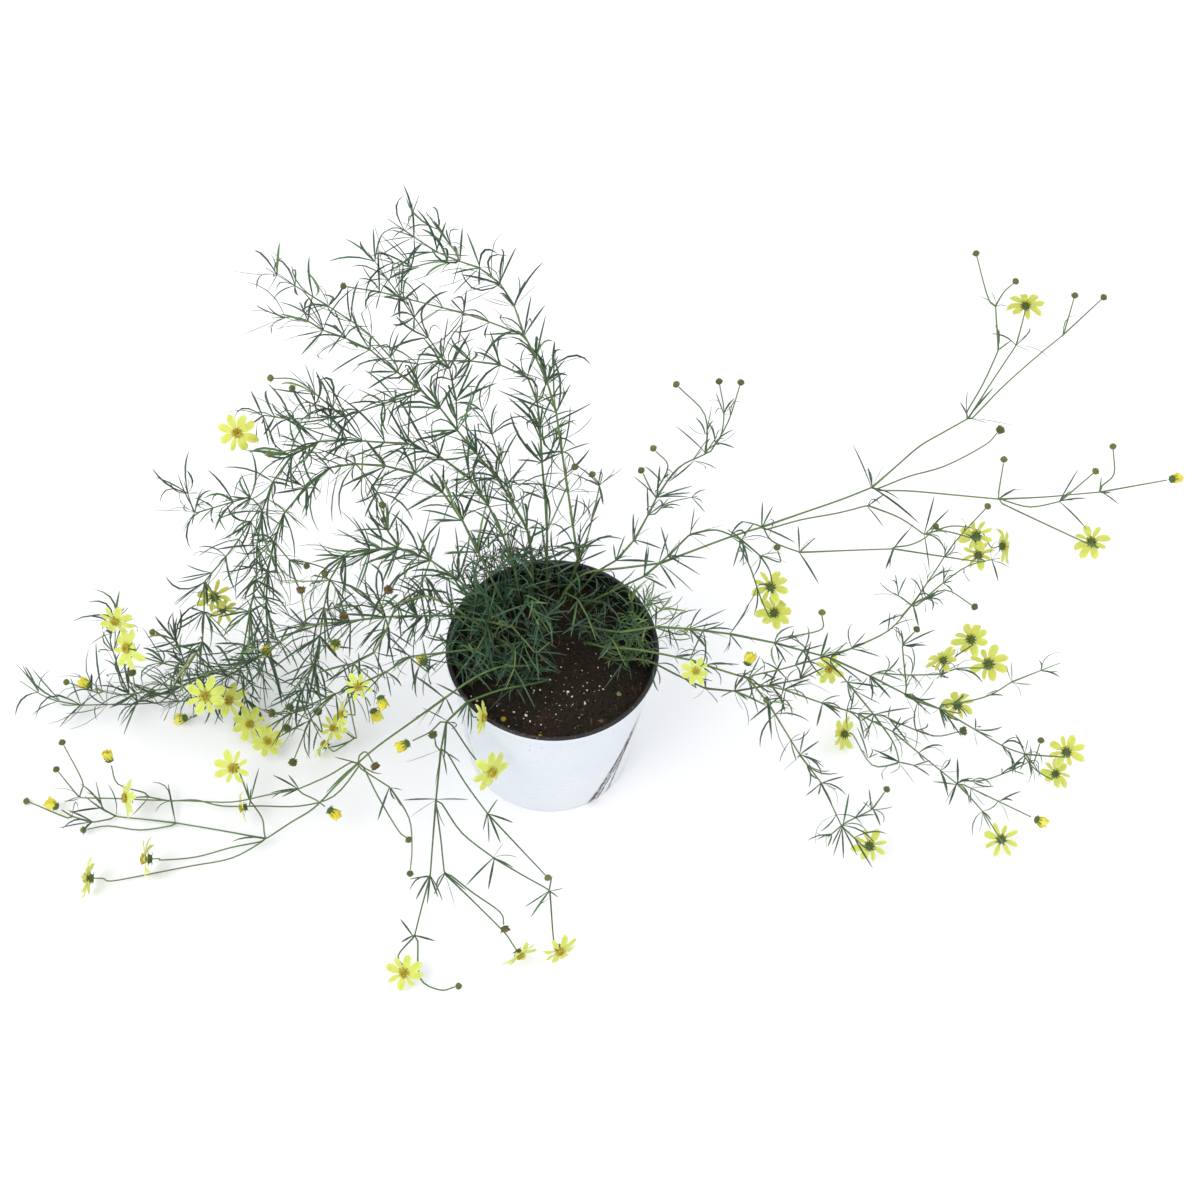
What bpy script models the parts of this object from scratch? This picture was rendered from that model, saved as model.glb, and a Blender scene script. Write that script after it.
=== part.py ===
"""A threadleaf coreopsis in its nursery pot: pot, soil, leafy stems and lemon-yellow blooms.

Lengths are metres and +Z is up. The origin is the middle of the pot's foot, on the surface that
it stands on. The lax stems are laid out as an eye in front of the plant and above it sees them:
a spot is a column and a row of that view, with a height above the surface in millimetres.
"""
import math

import bpy
import bmesh
import numpy as np
from mathutils import Matrix, Vector

MM = 0.001
SEED = 417

# The pot
POT_HEIGHT = 0.150
RIM_RADIUS = 0.085
FOOT_RADIUS = 0.070
WALL = 0.0016
LIP_OVERHANG = 0.0022
LIP_DEPTH = 0.009
LIP_EDGE = 0.0010
FOOT_RING_WIDTH = 0.008
FOOT_PAD_RADIUS = 0.036
FOOT_RAISE = 0.0025
FLOOR_THICKNESS = 0.002
POT_SIDES = 36
DRAIN_HOLES = 5
DRAIN_HOLE_SIDES = 6
DRAIN_HOLE_RADIUS = 0.005
DRAIN_HOLE_REACH = 0.048

# The soil
SOIL_LEVEL = 0.128
SOIL_RELIEF = 0.0022
SOIL_EDGE = 0.0015
SOIL_GAP = 0.0003
SOIL_RINGS = 4
SOIL_SIDES = 18
ROOT_DEPTH = 0.012
ROOT_HOLE_CLEARANCE = 0.0006
ROOT_HOLE_SIDES = 4

# The eye that the layout is seen by
EYE = Vector((0.0346, -0.7595, 1.3625))
EYE_PITCH = math.radians(56.33)
EYE_ROLL = math.radians(4.42)
EYE_REACH = 1800.0
VIEW_CENTRE = 600.0

# Stems, needles and heads
STEM_RADIUS = 0.0013
SHOOT_RADIUS = 0.0009
STALK_RADIUS = 0.0007
NODE_SWELL = 1.35
NODE_HALF_LENGTH = 0.0015
RING_SPACING = 0.042
NEEDLE_RADIUS = 0.00085
NEEDLE_LENGTHS = (0.020, 0.036)
NEEDLE_MID = 0.55
NEEDLE_BEND = 0.16
NEEDLE_TRIES = 5
CLEARANCE = 0.0008
ROOT_ZONE = 0.005
BUD_RADIUS = 0.0027
SPENT_RADIUS = 0.0036
HALF_RADIUS = 0.0036
CALYX_RADIUS = 0.0034
CALYX_HEIGHT = 0.0035
CALYX_TOP = 0.8
HEAD_NECK = 1.2
STALK_STRAIGHT = 0.012
SURFACE_GAP = 0.0006
BRANCH_REACH = 0.005
BRANCH_SPREADS = (0.6, 1.2, 2.4, 0.2)
ROOT_RISE = 0.0045
NEEDLE_TIP_TRIES = 3
NEEDLE_RISES = (-14, 14)
NEEDLE_TILTS = (12, 55)
NEEDLE_TURNS = (-22, 22)
NEEDLE_ALONG = 0.3
LEAF_SIGHT = 0.006

# Spots that carry nothing and hardly bend a path are left out of it
PLAIN_ANGLE = math.radians(15)
PLAIN_REACH = 0.085
PLAIN_END = 0.012

# How a stalk comes up to its bloom
APPROACH_SHIFT = 0.040
BEFORE_SHIFTS = [step * 0.004 for step in range(-6, 7)]
APPROACH_ANGLE = math.radians(55)
TURN_COST = 2.0
STRAIGHT_SHARE = 0.55
STRAIGHT_LEAST = 0.0066
APPROACH_LIMIT = math.radians(75)
SLIP = math.radians(6)
PETAL_ROOM = 0.0015
SMOOTH_ROUNDS = 30
SMOOTH_SHARE = 0.15
SMOOTH_ANGLE = math.radians(55)

# Bending clear
BEND_ROUNDS = 120
BEND_SIGHT = 0.012
BEND_STEP = 0.006
BEND_LEAST = 0.0001
BEND_WEIGHT = 0.15
POT_PUSH = 0.6
BEND_CLEARANCE = 0.0012
PETAL_GUARD = 0.0026
RIM_ROOM = 0.0012
RIM_SLIDE = 0.025
SOIL_ROOM = 0.005
POT_SHARES = (0.12, 0.25, 0.38, 0.5, 0.62, 0.75, 0.88, 1.0)
TINY = 1e-12
TOUCH = 0.00004
TOUCH_SHARE = 0.01

# Blooms
PETALS = 8
DISC_RADIUS = 0.0040
DISC_RISE = 0.0016
DISC_DEPTH = 0.0012
DISC_UNDER = 0.9
PETAL_LENGTH = 0.0125
PETAL_WIDTH = 0.0066
PETAL_GROWTH = (0.92, 1.06)
PETAL_LIFTS = (-0.0022, 0.0016)
PETAL_THICKNESS = 0.0007
BLOOM_GAP = 0.0003

# How a path of the plant ends
BLOOM = "bloom"
TIP = "tip"
BUD = "bud"
SPENT = "spent"
HALF = "half"


def faces(azimuth, elevation, size=1.0):
    """A bloom's end mark: where it faces (degrees from +X, degrees up) and its size."""
    return (BLOOM, azimuth, elevation, size)


HEAD_RADII = {BUD: BUD_RADIUS, SPENT: SPENT_RADIUS, HALF: HALF_RADIUS}
HEAD_LENGTHS = {BUD: 1.0, SPENT: 0.8, HALF: 1.5}


# Each leafy stem is a list of paths. A path has its spots (column, row, height in mm, and the
# number of needle leaves where it has a node) and how it ends. The first path rises from the
# soil, and every other path starts at a spot of an earlier one, given by column and row alone.
STEMS = {
    "stem_right_high": [
        ([(556, 612, 128), (566, 590, 150), (586, 573, 168), (620, 570, 180), (660, 563, 190, 3),
          (700, 547, 202), (730, 537, 209), (762, 527, 214, 4), (800, 515, 222), (840, 500, 230),
          (872, 487, 236, 3), (920, 446, 246), (968, 418, 256, 3), (998, 375, 264),
          (1016, 345, 273, 2), (1021, 322, 279)],
         (1026, 304, 284), faces(80, 5)),
        ([(968, 418), (980, 398, 263), (991, 372, 272), (998, 350, 278, 2), (996, 306, 288, 1),
          (1004, 292, 291)], (1016, 281, 294), BUD),
        ([(996, 306), (985, 288, 294)], (976, 253, 303), BUD),
        ([(968, 418), (1000, 393, 259), (1035, 358, 264), (1063, 335, 268, 2),
          (1082, 318, 270)], (1104, 297, 274), BUD),
        ([(1063, 335), (1070, 318, 276)], (1075, 295, 284), BUD),
        ([(566, 590), (578, 600, 166, 4), (588, 618, 170, 4)], (596, 640, 168), TIP),
        ([(872, 487), (905, 477, 232), (945, 466, 231), (985, 445, 232)], (1000, 430, 233), SPENT),
        ([(872, 487), (910, 491, 240), (955, 493, 237), (999, 499, 234, 2), (1045, 497, 227),
          (1100, 492, 219, 2), (1140, 490, 213)], (1173, 479, 208), HALF),
        ([(1100, 492), (1114, 474, 226)], (1113, 446, 234), BUD),
        ([(999, 499), (1030, 507, 240), (1060, 501, 246, 4), (1080, 487, 252)],
         (1096, 471, 256), BUD),
        ([(999, 499), (1032, 518, 224), (1065, 532, 217)], (1091, 541, 212), faces(80, -35)),
        ([(999, 499), (1001, 480, 244)], (1004, 459, 254), BUD),
        ([(762, 527), (800, 522, 203), (838, 513, 197), (868, 506, 192, 2), (900, 518, 186),
          (925, 534, 181, 3), (952, 526, 180), (980, 531, 177)], (1005, 546, 170), faces(10, 0)),
        ([(925, 534), (945, 531, 188), (962, 530, 190)], (976, 535, 190), faces(90, -35)),
        ([(762, 527), (772, 541, 200), (800, 552, 186, 3), (845, 551, 178), (893, 549, 170, 3),
          (930, 553, 160), (958, 556, 154)], (978, 554, 150), faces(90, -22)),
        ([(893, 549), (910, 545, 178), (925, 538, 190)], (936, 526, 200), BUD),
    ],
    "stem_right_low": [
        ([(574, 628, 128), (592, 628, 150), (620, 632, 164, 3), (655, 627, 172, 5),
          (690, 629, 174, 3), (730, 634, 170, 2), (775, 643, 162, 4), (830, 658, 147, 3),
          (870, 676, 132, 4), (905, 694, 117, 4), (940, 709, 102, 4), (975, 727, 86),
          (1003, 746, 73), (1025, 754, 66, 3), (1045, 753, 62)], (1066, 751, 58), faces(80, -35)),
        ([(1025, 754), (1033, 764, 52)], (1041, 740, 78), BUD),
        ([(1025, 754), (1036, 770, 46)], (1056, 773, 36), faces(60, -22, 0.9)),
        ([(940, 709), (965, 703, 104), (990, 695, 105), (1012, 682, 105, 3), (1037, 670, 105)],
         (1060, 663, 104), TIP),
        ([(870, 676), (905, 672, 140), (942, 674, 142, 2), (960, 668, 148)],
         (988, 663, 150), faces(90, -40, 1.1)),
        ([(942, 674), (957, 655, 160)], (971, 639, 168), faces(95, -28)),
        ([(942, 674), (940, 671, 158)], (942, 660, 170), faces(110, -12, 0.9)),
        ([(905, 694), (905, 668, 132), (903, 645, 144, 3)], (917, 629, 150), BUD),
        ([(905, 694), (930, 706, 88)], (957, 704, 76), faces(90, -20)),
        ([(830, 658), (848, 683, 122, 3), (874, 715, 100, 2), (893, 742, 82), (898, 762, 68, 4),
          (872, 765, 52), (860, 752, 34)], (843, 734, 15), faces(150, -40, 0.95)),
        ([(874, 715), (905, 729, 88), (935, 736, 78)], (963, 731, 72), SPENT),
        ([(775, 643), (800, 635, 178), (822, 629, 186)], (822, 612, 196), BUD),
    ],
    "stem_right_front": [
        ([(586, 646, 128), (604, 647, 150), (640, 650, 164), (690, 660, 160, 3), (720, 669, 152),
          (748, 679, 143, 3), (768, 703, 122, 2), (788, 736, 101), (800, 755, 88, 4),
          (821, 783, 66, 2), (835, 808, 50), (842, 826, 38, 4), (856, 836, 31)],
         (870, 845, 27), faces(70, -40)),
        ([(842, 826), (872, 809, 48, 3)], (887, 789, 58), BUD),
        ([(604, 647), (612, 640, 164, 4)], (626, 666, 166), TIP),
        ([(748, 679), (780, 670, 152), (820, 658, 160, 3), (852, 648, 168, 2), (888, 631, 176),
          (912, 605, 184, 4), (932, 572, 192), (955, 542, 200), (975, 522, 206)],
         (988, 506, 210), BUD),
        ([(912, 605), (944, 580, 178), (968, 566, 176)], (1000, 558, 176), TIP),
        ([(912, 605), (945, 590, 196)], (975, 607, 200), BUD),
        ([(748, 679), (785, 690, 132, 2), (822, 703, 118, 2), (858, 714, 106, 3),
          (893, 732, 88, 3), (925, 758, 68), (957, 784, 48, 4), (983, 812, 32)],
         (1001, 839, 22), faces(80, -48, 1.05)),
        ([(957, 784), (990, 800, 44), (1016, 813, 36)], (1038, 820, 30), HALF),
        ([(957, 784), (985, 780, 56), (1012, 770, 58, 3)], (1033, 760, 62), TIP),
    ],
    "stem_right_mid": [
        ([(600, 660, 128), (616, 660, 150), (645, 660, 164), (675, 671, 158), (705, 688, 146),
          (735, 691, 136, 3), (770, 685, 128, 3), (800, 679, 122, 2)],
         (829, 669, 118), faces(-70, 50, 0.85)),
        ([(705, 688), (697, 682, 150)], (696, 671, 156), faces(-80, 45, 0.75)),
        ([(735, 691), (742, 680, 140)], (748, 662, 150), HALF),
        ([(770, 685), (781, 697, 112, 2)], (766, 700, 100), BUD),
    ],
    "stem_back_right": [
        ([(572, 602, 128), (582, 585, 152), (597, 572, 170), (616, 560, 184, 3), (634, 540, 198, 3),
          (648, 515, 216, 3), (657, 497, 226, 3), (678, 468, 242), (705, 453, 254, 4),
          (705, 415, 268)], (676, 384, 282), BUD),
        ([(705, 453), (720, 438, 262), (724, 412, 270)], (719, 381, 280), BUD),
        ([(705, 453), (728, 422, 262)], (741, 382, 272), BUD),
        ([(657, 497), (668, 466, 242)], (653, 448, 252), BUD),
        ([(648, 515), (668, 503, 218)], (698, 496, 222), TIP),
        ([(657, 497), (650, 480, 232)], (641, 470, 238), BUD),
    ],
    "stem_arch_right": [
        ([(580, 612, 128), (594, 600, 154), (616, 588, 174), (644, 576, 190, 3), (668, 556, 204, 4),
          (690, 535, 214, 3), (716, 530, 218), (741, 540, 212, 4), (760, 556, 198, 3),
          (770, 572, 184)], (770, 586, 174), faces(100, -30)),
        ([(741, 540), (748, 570, 186), (760, 596, 164)], (775, 612, 152), faces(60, -30)),
        ([(760, 556), (780, 562, 196)], (777, 547, 208), BUD),
    ],
    "stem_back_tall": [
        ([(566, 596, 128), (573, 580, 154), (578, 562, 178, 3), (573, 526, 212, 3),
          (568, 492, 240, 4), (562, 452, 270, 4), (556, 412, 298, 4), (547, 382, 316, 4),
          (536, 358, 330, 4), (524, 334, 342, 4), (514, 306, 352, 4), (500, 284, 358, 4),
          (479, 268, 360, 4), (459, 261, 356, 3), (437, 252, 352, 3), (414, 237, 346, 4)],
         (388, 219, 338), TIP),
        ([(459, 261), (449, 243, 362), (438, 229, 364, 3)], (426, 212, 366), TIP),
        ([(459, 261), (435, 262, 346), (412, 267, 340, 3), (392, 262, 334)], (375, 258, 330), TIP),
        ([(524, 334), (500, 326, 332), (463, 313, 322, 4), (430, 303, 312), (400, 297, 304, 4),
          (380, 292, 298, 4), (360, 290, 292)], (343, 286, 286), BUD),
        ([(578, 562), (588, 535, 200), (594, 510, 214), (599, 485, 224, 4)],
         (592, 474, 230), BUD),
        ([(562, 452), (572, 458, 276)], (575, 467, 280), BUD),
    ],
    "stem_back_left": [
        ([(546, 602, 128), (547, 583, 156), (547, 560, 182, 2), (547, 530, 208, 3),
          (545, 498, 232, 4), (542, 462, 258, 4), (540, 428, 280, 4), (537, 402, 296, 4),
          (527, 378, 308, 4), (500, 365, 310, 3), (470, 361, 306, 4), (440, 361, 298, 3),
          (418, 365, 290, 3)], (398, 384, 284), TIP),
        ([(537, 402), (546, 384, 308, 3), (553, 366, 314, 3)], (558, 356, 318), TIP),
        ([(542, 462), (556, 440, 272, 3)], (566, 430, 276), TIP),
    ],
    "stem_left_back": [
        ([(532, 604, 128), (533, 586, 156), (532, 562, 182, 3), (527, 530, 208, 4),
          (513, 503, 228, 4), (496, 477, 246, 4), (476, 453, 264, 4), (457, 430, 280, 4),
          (440, 408, 292, 4), (420, 390, 302, 4), (397, 372, 312, 4), (370, 350, 314, 4),
          (345, 338, 310, 3), (323, 330, 304, 3), (300, 318, 298)], (272, 318, 292), TIP),
        ([(397, 372), (384, 350, 324), (364, 330, 330), (345, 316, 330), (328, 306, 326, 2),
          (300, 292, 320)], (266, 268, 312), TIP),
        ([(457, 430), (456, 400, 270, 3), (449, 368, 276, 4), (426, 332, 282), (403, 301, 286, 4),
          (386, 275, 288)], (368, 252, 288), TIP),
        ([(420, 390), (395, 400, 288, 4), (372, 406, 280), (345, 416, 270, 3), (318, 420, 260),
          (290, 419, 250, 3), (263, 416, 240, 3), (250, 424, 232)], (237, 433, 226),
         faces(-90, 50, 1.05)),
        ([(345, 416), (320, 404, 262), (305, 400, 256)], (292, 388, 252), BUD),
        ([(345, 416), (318, 392, 272), (296, 380, 268)], (270, 378, 262), BUD),
        ([(513, 503), (502, 466, 256), (492, 434, 268, 4)], (482, 410, 276), TIP),
        ([(533, 586), (528, 604, 172, 4), (540, 618, 176, 3)], (550, 634, 174), TIP),
    ],
    "stem_left_mid": [
        ([(521, 612, 128), (519, 594, 156), (514, 568, 182, 3), (503, 536, 206, 3),
          (488, 505, 226, 4), (470, 479, 238, 4), (440, 457, 250, 4), (408, 444, 256, 4),
          (378, 441, 256), (347, 440, 250, 4), (318, 442, 240, 4), (292, 456, 226, 3),
          (273, 482, 206, 2), (262, 512, 184, 4), (257, 546, 158, 3), (256, 580, 132, 4),
          (250, 612, 106, 4), (244, 645, 82, 4), (240, 672, 62, 4), (236, 688, 50)],
         (229, 701, 44), faces(-90, 50)),
        ([(318, 442), (292, 450, 252)], (269, 454, 246), BUD),
        ([(262, 512), (240, 540, 166), (218, 562, 152), (205, 582, 138, 2), (204, 612, 118, 3),
          (202, 642, 98, 3), (186, 668, 80, 4), (160, 663, 84), (140, 656, 88)],
         (127, 648, 92), faces(-140, 35, 1.15)),
        ([(205, 582), (208, 590, 144)], (214, 596, 148), faces(120, -20)),
        ([(204, 612), (214, 616, 108)], (223, 609, 102), faces(100, -30, 0.9)),
        ([(186, 668), (176, 641, 84, 3)], (152, 632, 92), BUD),
        ([(240, 672), (214, 686, 72)], (205, 696, 76), faces(-90, 60, 1.1)),
        ([(240, 672), (246, 700, 34, 2)], (250, 724, 20), faces(-90, 60)),
        ([(262, 512), (250, 498, 190, 3), (222, 503, 184), (195, 512, 178, 2)],
         (184, 482, 178), TIP),
    ],
    "stem_left_low": [
        ([(510, 618, 128), (503, 602, 156), (492, 580, 178), (478, 552, 192, 4),
          (462, 520, 206, 4), (442, 492, 216, 4), (415, 474, 222, 4), (385, 466, 222, 4),
          (355, 464, 216, 3), (330, 468, 208, 4), (306, 488, 192, 3), (284, 514, 172, 4),
          (274, 542, 150, 3), (268, 572, 128, 4), (266, 604, 104, 4), (268, 638, 78, 4),
          (262, 668, 54, 4), (240, 690, 40), (212, 699, 30, 2), (175, 702, 22), (137, 704, 16, 4),
          (110, 708, 12), (80, 705, 10, 2), (48, 698, 10)], (20, 681, 12), TIP),
        ([(137, 704), (122, 686, 34), (114, 660, 60), (110, 636, 78)],
         (115, 621, 88), faces(-90, 10)),
        ([(268, 638), (266, 646, 92)], (266, 649, 100), HALF),
        ([(212, 699), (196, 716, 16)], (184, 718, 10), HALF),
        ([(503, 602), (490, 600, 166, 4), (474, 606, 174, 4)], (457, 598, 176), TIP),
        ([(355, 464), (372, 485, 196, 3), (383, 503, 176)], (384, 520, 160), BUD),
        ([(274, 542), (290, 560, 140, 3)], (307, 566, 136), BUD),
    ],
    "stem_left_straight": [
        ([(520, 632, 128), (508, 626, 150), (482, 620, 164), (450, 616, 170), (418, 616, 168, 4),
          (385, 617, 162, 4), (350, 621, 152, 4), (305, 626, 136, 4), (280, 642, 118, 4),
          (258, 658, 98, 4), (232, 668, 78, 4), (205, 676, 62, 4), (182, 686, 50, 4),
          (155, 692, 40), (125, 695, 32), (102, 691, 26)], (88, 685, 24), HALF),
        ([(182, 686), (165, 694, 36)], (152, 694, 22), SPENT),
        ([(182, 686), (150, 684, 60), (137, 690, 56)], (132, 673, 58), SPENT),
        ([(102, 691), (84, 687, 18)], (66, 682, 14), BUD),
        ([(305, 626), (302, 608, 150)], (301, 590, 162), SPENT),
        ([(385, 617), (380, 600, 186, 3)], (388, 590, 200), SPENT),
        ([(508, 626), (524, 640, 162, 4), (536, 652, 166, 3)], (550, 642, 172), TIP),
        ([(350, 621), (338, 640, 130)], (336, 643, 118), HALF),
    ],
    "stem_left_front": [
        ([(528, 644, 128), (514, 644, 150), (484, 648, 163), (448, 652, 166), (410, 657, 158, 4),
          (386, 672, 140, 4), (360, 684, 120, 4), (335, 694, 100, 4), (312, 704, 80, 4),
          (292, 714, 60, 3)], (287, 728, 44), SPENT),
        ([(335, 694), (310, 720, 74, 3), (300, 742, 52)], (293, 762, 32), SPENT),
        ([(312, 704), (285, 716, 48, 2), (272, 730, 28)], (267, 741, 18), faces(-60, 40, 0.9)),
        ([(292, 714), (280, 706, 62)], (272, 713, 54), SPENT),
        ([(410, 657), (428, 672, 140, 4)], (424, 662, 128), HALF),
        ([(310, 720), (322, 732, 54)], (318, 712, 56), SPENT),
    ],
    "stem_left_trailing": [
        ([(540, 668, 128), (526, 666, 150), (500, 667, 162), (474, 678, 166), (445, 698, 160, 4),
          (420, 715, 144), (396, 731, 124), (378, 746, 104), (358, 763, 80, 4), (338, 786, 58),
          (314, 808, 38), (290, 825, 24), (266, 838, 12, 4), (240, 836, 7), (208, 832, 4),
          (176, 823, 3, 4), (145, 823, 3), (116, 816, 5), (103, 808, 9, 2)], (96, 782, 16), TIP),
        ([(358, 763), (330, 776, 68), (298, 789, 50, 3), (268, 798, 38), (232, 802, 29),
          (190, 803, 22), (150, 800, 18), (112, 800, 17), (80, 797, 18), (66, 782, 24)],
         (56, 769, 28), BUD),
        ([(358, 763), (334, 796, 46), (300, 806, 26), (262, 810, 16), (222, 806, 12),
          (196, 800, 12), (170, 801, 12, 3), (148, 797, 14), (136, 797, 16)],
         (126, 798, 20), faces(-160, 20, 1.1)),
        ([(148, 797), (118, 784, 24), (112, 772, 34)], (109, 759, 42), HALF),
        ([(266, 838), (234, 851, 8), (196, 857, 6), (162, 860, 10)], (145, 859, 19),
         faces(-170, 8, 1.2)),
        ([(266, 838), (232, 858, 14), (190, 867, 6), (150, 874, 5), (112, 881, 9)],
         (87, 878, 18), faces(-175, 5, 1.1)),
        ([(266, 838), (262, 818, 26), (250, 800, 32, 3), (240, 786, 26)],
         (233, 768, 16), faces(-95, 55, 1.05)),
        ([(250, 800), (252, 809, 40)], (242, 808, 46), faces(-160, 0, 0.9)),
        ([(358, 763), (376, 798, 60), (398, 830, 38)], (409, 840, 30), BUD),
        ([(358, 763), (390, 788, 72, 2), (409, 818, 52), (412, 848, 34)], (410, 874, 26), BUD),
        ([(176, 823), (140, 830, 4), (108, 826, 5)], (83, 830, 8), BUD),
        ([(116, 816), (92, 822, 12, 2), (72, 816, 10)], (55, 806, 12), HALF),
        ([(72, 816), (52, 810, 6)], (26, 801, 5), BUD),
        ([(80, 797), (82, 780, 34), (70, 760, 42)], (62, 742, 48), BUD),
        ([(298, 789), (316, 800, 46)], (331, 811, 36), HALF),
        ([(358, 763), (366, 752, 92), (374, 756, 92)], (375, 766, 86), SPENT),
    ],
    "stem_front": [
        ([(548, 684, 128), (532, 684, 150), (500, 690, 164), (468, 702, 164, 4),
          (447, 722, 144, 3), (441, 750, 118, 2), (438, 775, 104), (436, 800, 90, 4),
          (433, 838, 68), (430, 876, 48, 4), (420, 906, 34), (414, 936, 22, 4), (398, 956, 18)],
         (404, 973, 16), faces(-100, 45)),
        ([(436, 800), (440, 840, 74), (445, 873, 58, 4), (480, 906, 38), (504, 932, 26)],
         (520, 955, 18), faces(-50, -10)),
        ([(445, 873), (480, 896, 50), (500, 912, 40)], (505, 929, 32), SPENT),
        ([(436, 800), (462, 833, 78), (494, 858, 62, 4), (525, 878, 50), (549, 891, 42, 3),
          (556, 922, 28)], (560, 951, 20), faces(-60, 8)),
        ([(441, 750), (464, 784, 98), (488, 814, 80, 4), (520, 850, 62)], (548, 878, 52), BUD),
        ([(414, 936), (420, 978, 8), (440, 990, 6)], (459, 986, 8), BUD),
        ([(447, 722), (470, 752, 120)], (496, 764, 112), faces(-40, 20, 1.1)),
        ([(468, 702), (474, 716, 158)], (483, 718, 160), faces(-10, 15, 0.85)),
        ([(447, 722), (430, 732, 130)], (406, 744, 118), HALF),
        ([(441, 750), (432, 748, 112)], (433, 735, 118), SPENT),
    ],
    "stem_left_mass": [
        ([(505, 628, 128), (494, 616, 154), (478, 598, 172), (458, 580, 182, 3), (430, 560, 186, 4),
          (398, 548, 186, 4), (370, 550, 180, 4), (345, 556, 172, 4), (330, 580, 158, 4),
          (324, 608, 142, 4), (320, 636, 124, 4), (314, 664, 102, 4), (302, 690, 80, 3)],
         (290, 707, 66), SPENT),
        ([(330, 580), (326, 568, 168)], (325, 574, 176), BUD),
        ([(398, 548), (388, 530, 200, 4), (386, 505, 214)], (382, 505, 228), BUD),
        ([(494, 616), (484, 636, 162, 4), (474, 654, 166, 4)], (462, 668, 164), TIP),
        ([(324, 608), (346, 606, 160)], (344, 616, 168), SPENT),
        ([(430, 560), (420, 590, 170, 4)], (426, 618, 160), TIP),
    ],
    "stem_left_edge": [
        ([(512, 654, 128), (500, 640, 152), (476, 622, 168), (452, 606, 178, 3),
          (425, 596, 184, 4), (398, 604, 180, 4), (386, 630, 166, 4), (374, 652, 150, 4),
          (354, 664, 132, 4), (348, 690, 96, 4), (353, 714, 66), (355, 738, 34)],
         (333, 728, 34), faces(-100, 45, 0.8)),
        ([(355, 738), (340, 748, 28)], (324, 744, 18), faces(150, 20, 0.9)),
        ([(348, 690), (344, 704, 72)], (342, 714, 62), faces(180, 20, 0.9)),
        ([(354, 664), (362, 675, 140)], (358, 687, 130), faces(-90, 40, 0.85)),
        ([(348, 690), (366, 698, 84)], (374, 712, 72), HALF),
        ([(354, 664), (376, 684, 120)], (381, 699, 112), HALF),
        ([(500, 640), (515, 652, 163, 4), (514, 668, 166, 4)], (505, 690, 166), TIP),
    ],
}

# Leaf tips of the nodes that stand clear, by the column and row of their node
LEAF_TIPS = {
    (762, 527): [(742, 521), (763, 501), (772, 507)],
    (872, 487): [(854, 442), (868, 466), (901, 486), (920, 519)],
    (968, 418): [(1002, 397), (1015, 424), (960, 400)],
    (998, 350): [(1000, 324), (1011, 340)],
    (996, 306): [(977, 293)],
    (1063, 335): [(1089, 339), (1060, 316)],
    (999, 499): [(980, 481), (1016, 488)],
    (1100, 492): [(1118, 503), (1102, 478)],
    (925, 534): [(936, 493), (948, 509), (931, 570)],
    (800, 552): [(799, 524), (820, 582), (815, 538)],
    (893, 549): [(908, 530), (885, 568), (915, 566)],
    (800, 755): [(819, 741), (822, 762), (782, 770), (806, 728)],
    (842, 826): [(849, 790), (829, 837), (833, 855), (855, 853)],
    (872, 809): [(870, 788), (863, 800), (880, 824)],
    (957, 784): [(933, 780), (957, 758), (979, 764), (950, 804)],
    (1012, 770): [(998, 762), (1013, 752), (1012, 787), (1031, 790)],
    (1025, 754): [(1016, 733), (1032, 738), (1008, 770)],
    (1012, 682): [(1004, 660), (1015, 668), (1009, 706), (1022, 694)],
    (912, 605): [(895, 592), (918, 626), (900, 618), (934, 606)],
    (705, 453): [(676, 425), (700, 421), (745, 442), (700, 474)],
    (599, 485): [(615, 471), (602, 468), (578, 486), (603, 503)],
    (898, 762): [(872, 749), (880, 756), (918, 766), (916, 784)],
    (436, 800): [(409, 817), (467, 799), (450, 820), (432, 778)],
    (430, 876): [(415, 901), (427, 902), (438, 897), (411, 878)],
    (414, 936): [(401, 918), (435, 941), (442, 957), (400, 943)],
    (445, 873): [(456, 908), (450, 893), (434, 893)],
    (494, 858): [(467, 884), (488, 888), (514, 867), (497, 880)],
    (549, 891): [(531, 915), (558, 897), (552, 876)],
    (488, 814): [(497, 800), (513, 822), (484, 829), (500, 841)],
    (266, 838): [(232, 872), (284, 842), (222, 820), (245, 830)],
    (176, 823): [(140, 828), (166, 846), (166, 800), (144, 806)],
    (137, 704): [(124, 732), (132, 747), (150, 690), (128, 713)],
    (741, 540): [(733, 566), (755, 520), (728, 530), (748, 562)],
    (655, 627): [(622, 621), (628, 637), (640, 607), (656, 604), (640, 650)],
    (612, 640): [(625, 622), (600, 655), (590, 634)],
}


def spot(column, row, height_mm):
    """The place in space that the eye sees at a column and row, at a height."""
    look = Vector((0.0, math.cos(EYE_PITCH), -math.sin(EYE_PITCH)))
    right = Vector((1.0, 0.0, 0.0))
    up = right.cross(look)
    across = math.cos(EYE_ROLL) * right + math.sin(EYE_ROLL) * up
    upward = -math.sin(EYE_ROLL) * right + math.cos(EYE_ROLL) * up
    sight = look + across * ((column - VIEW_CENTRE) / EYE_REACH)
    sight = sight - upward * ((row - VIEW_CENTRE) / EYE_REACH)
    return EYE + sight * ((height_mm * MM - EYE.z) / sight.z)


def heading(azimuth, elevation):
    """The unit vector of a direction in degrees: from +X towards +Y, and up."""
    turn = math.radians(azimuth)
    rise = math.radians(elevation)
    return Vector((math.cos(rise) * math.cos(turn), math.cos(rise) * math.sin(turn), math.sin(rise)))


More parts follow.
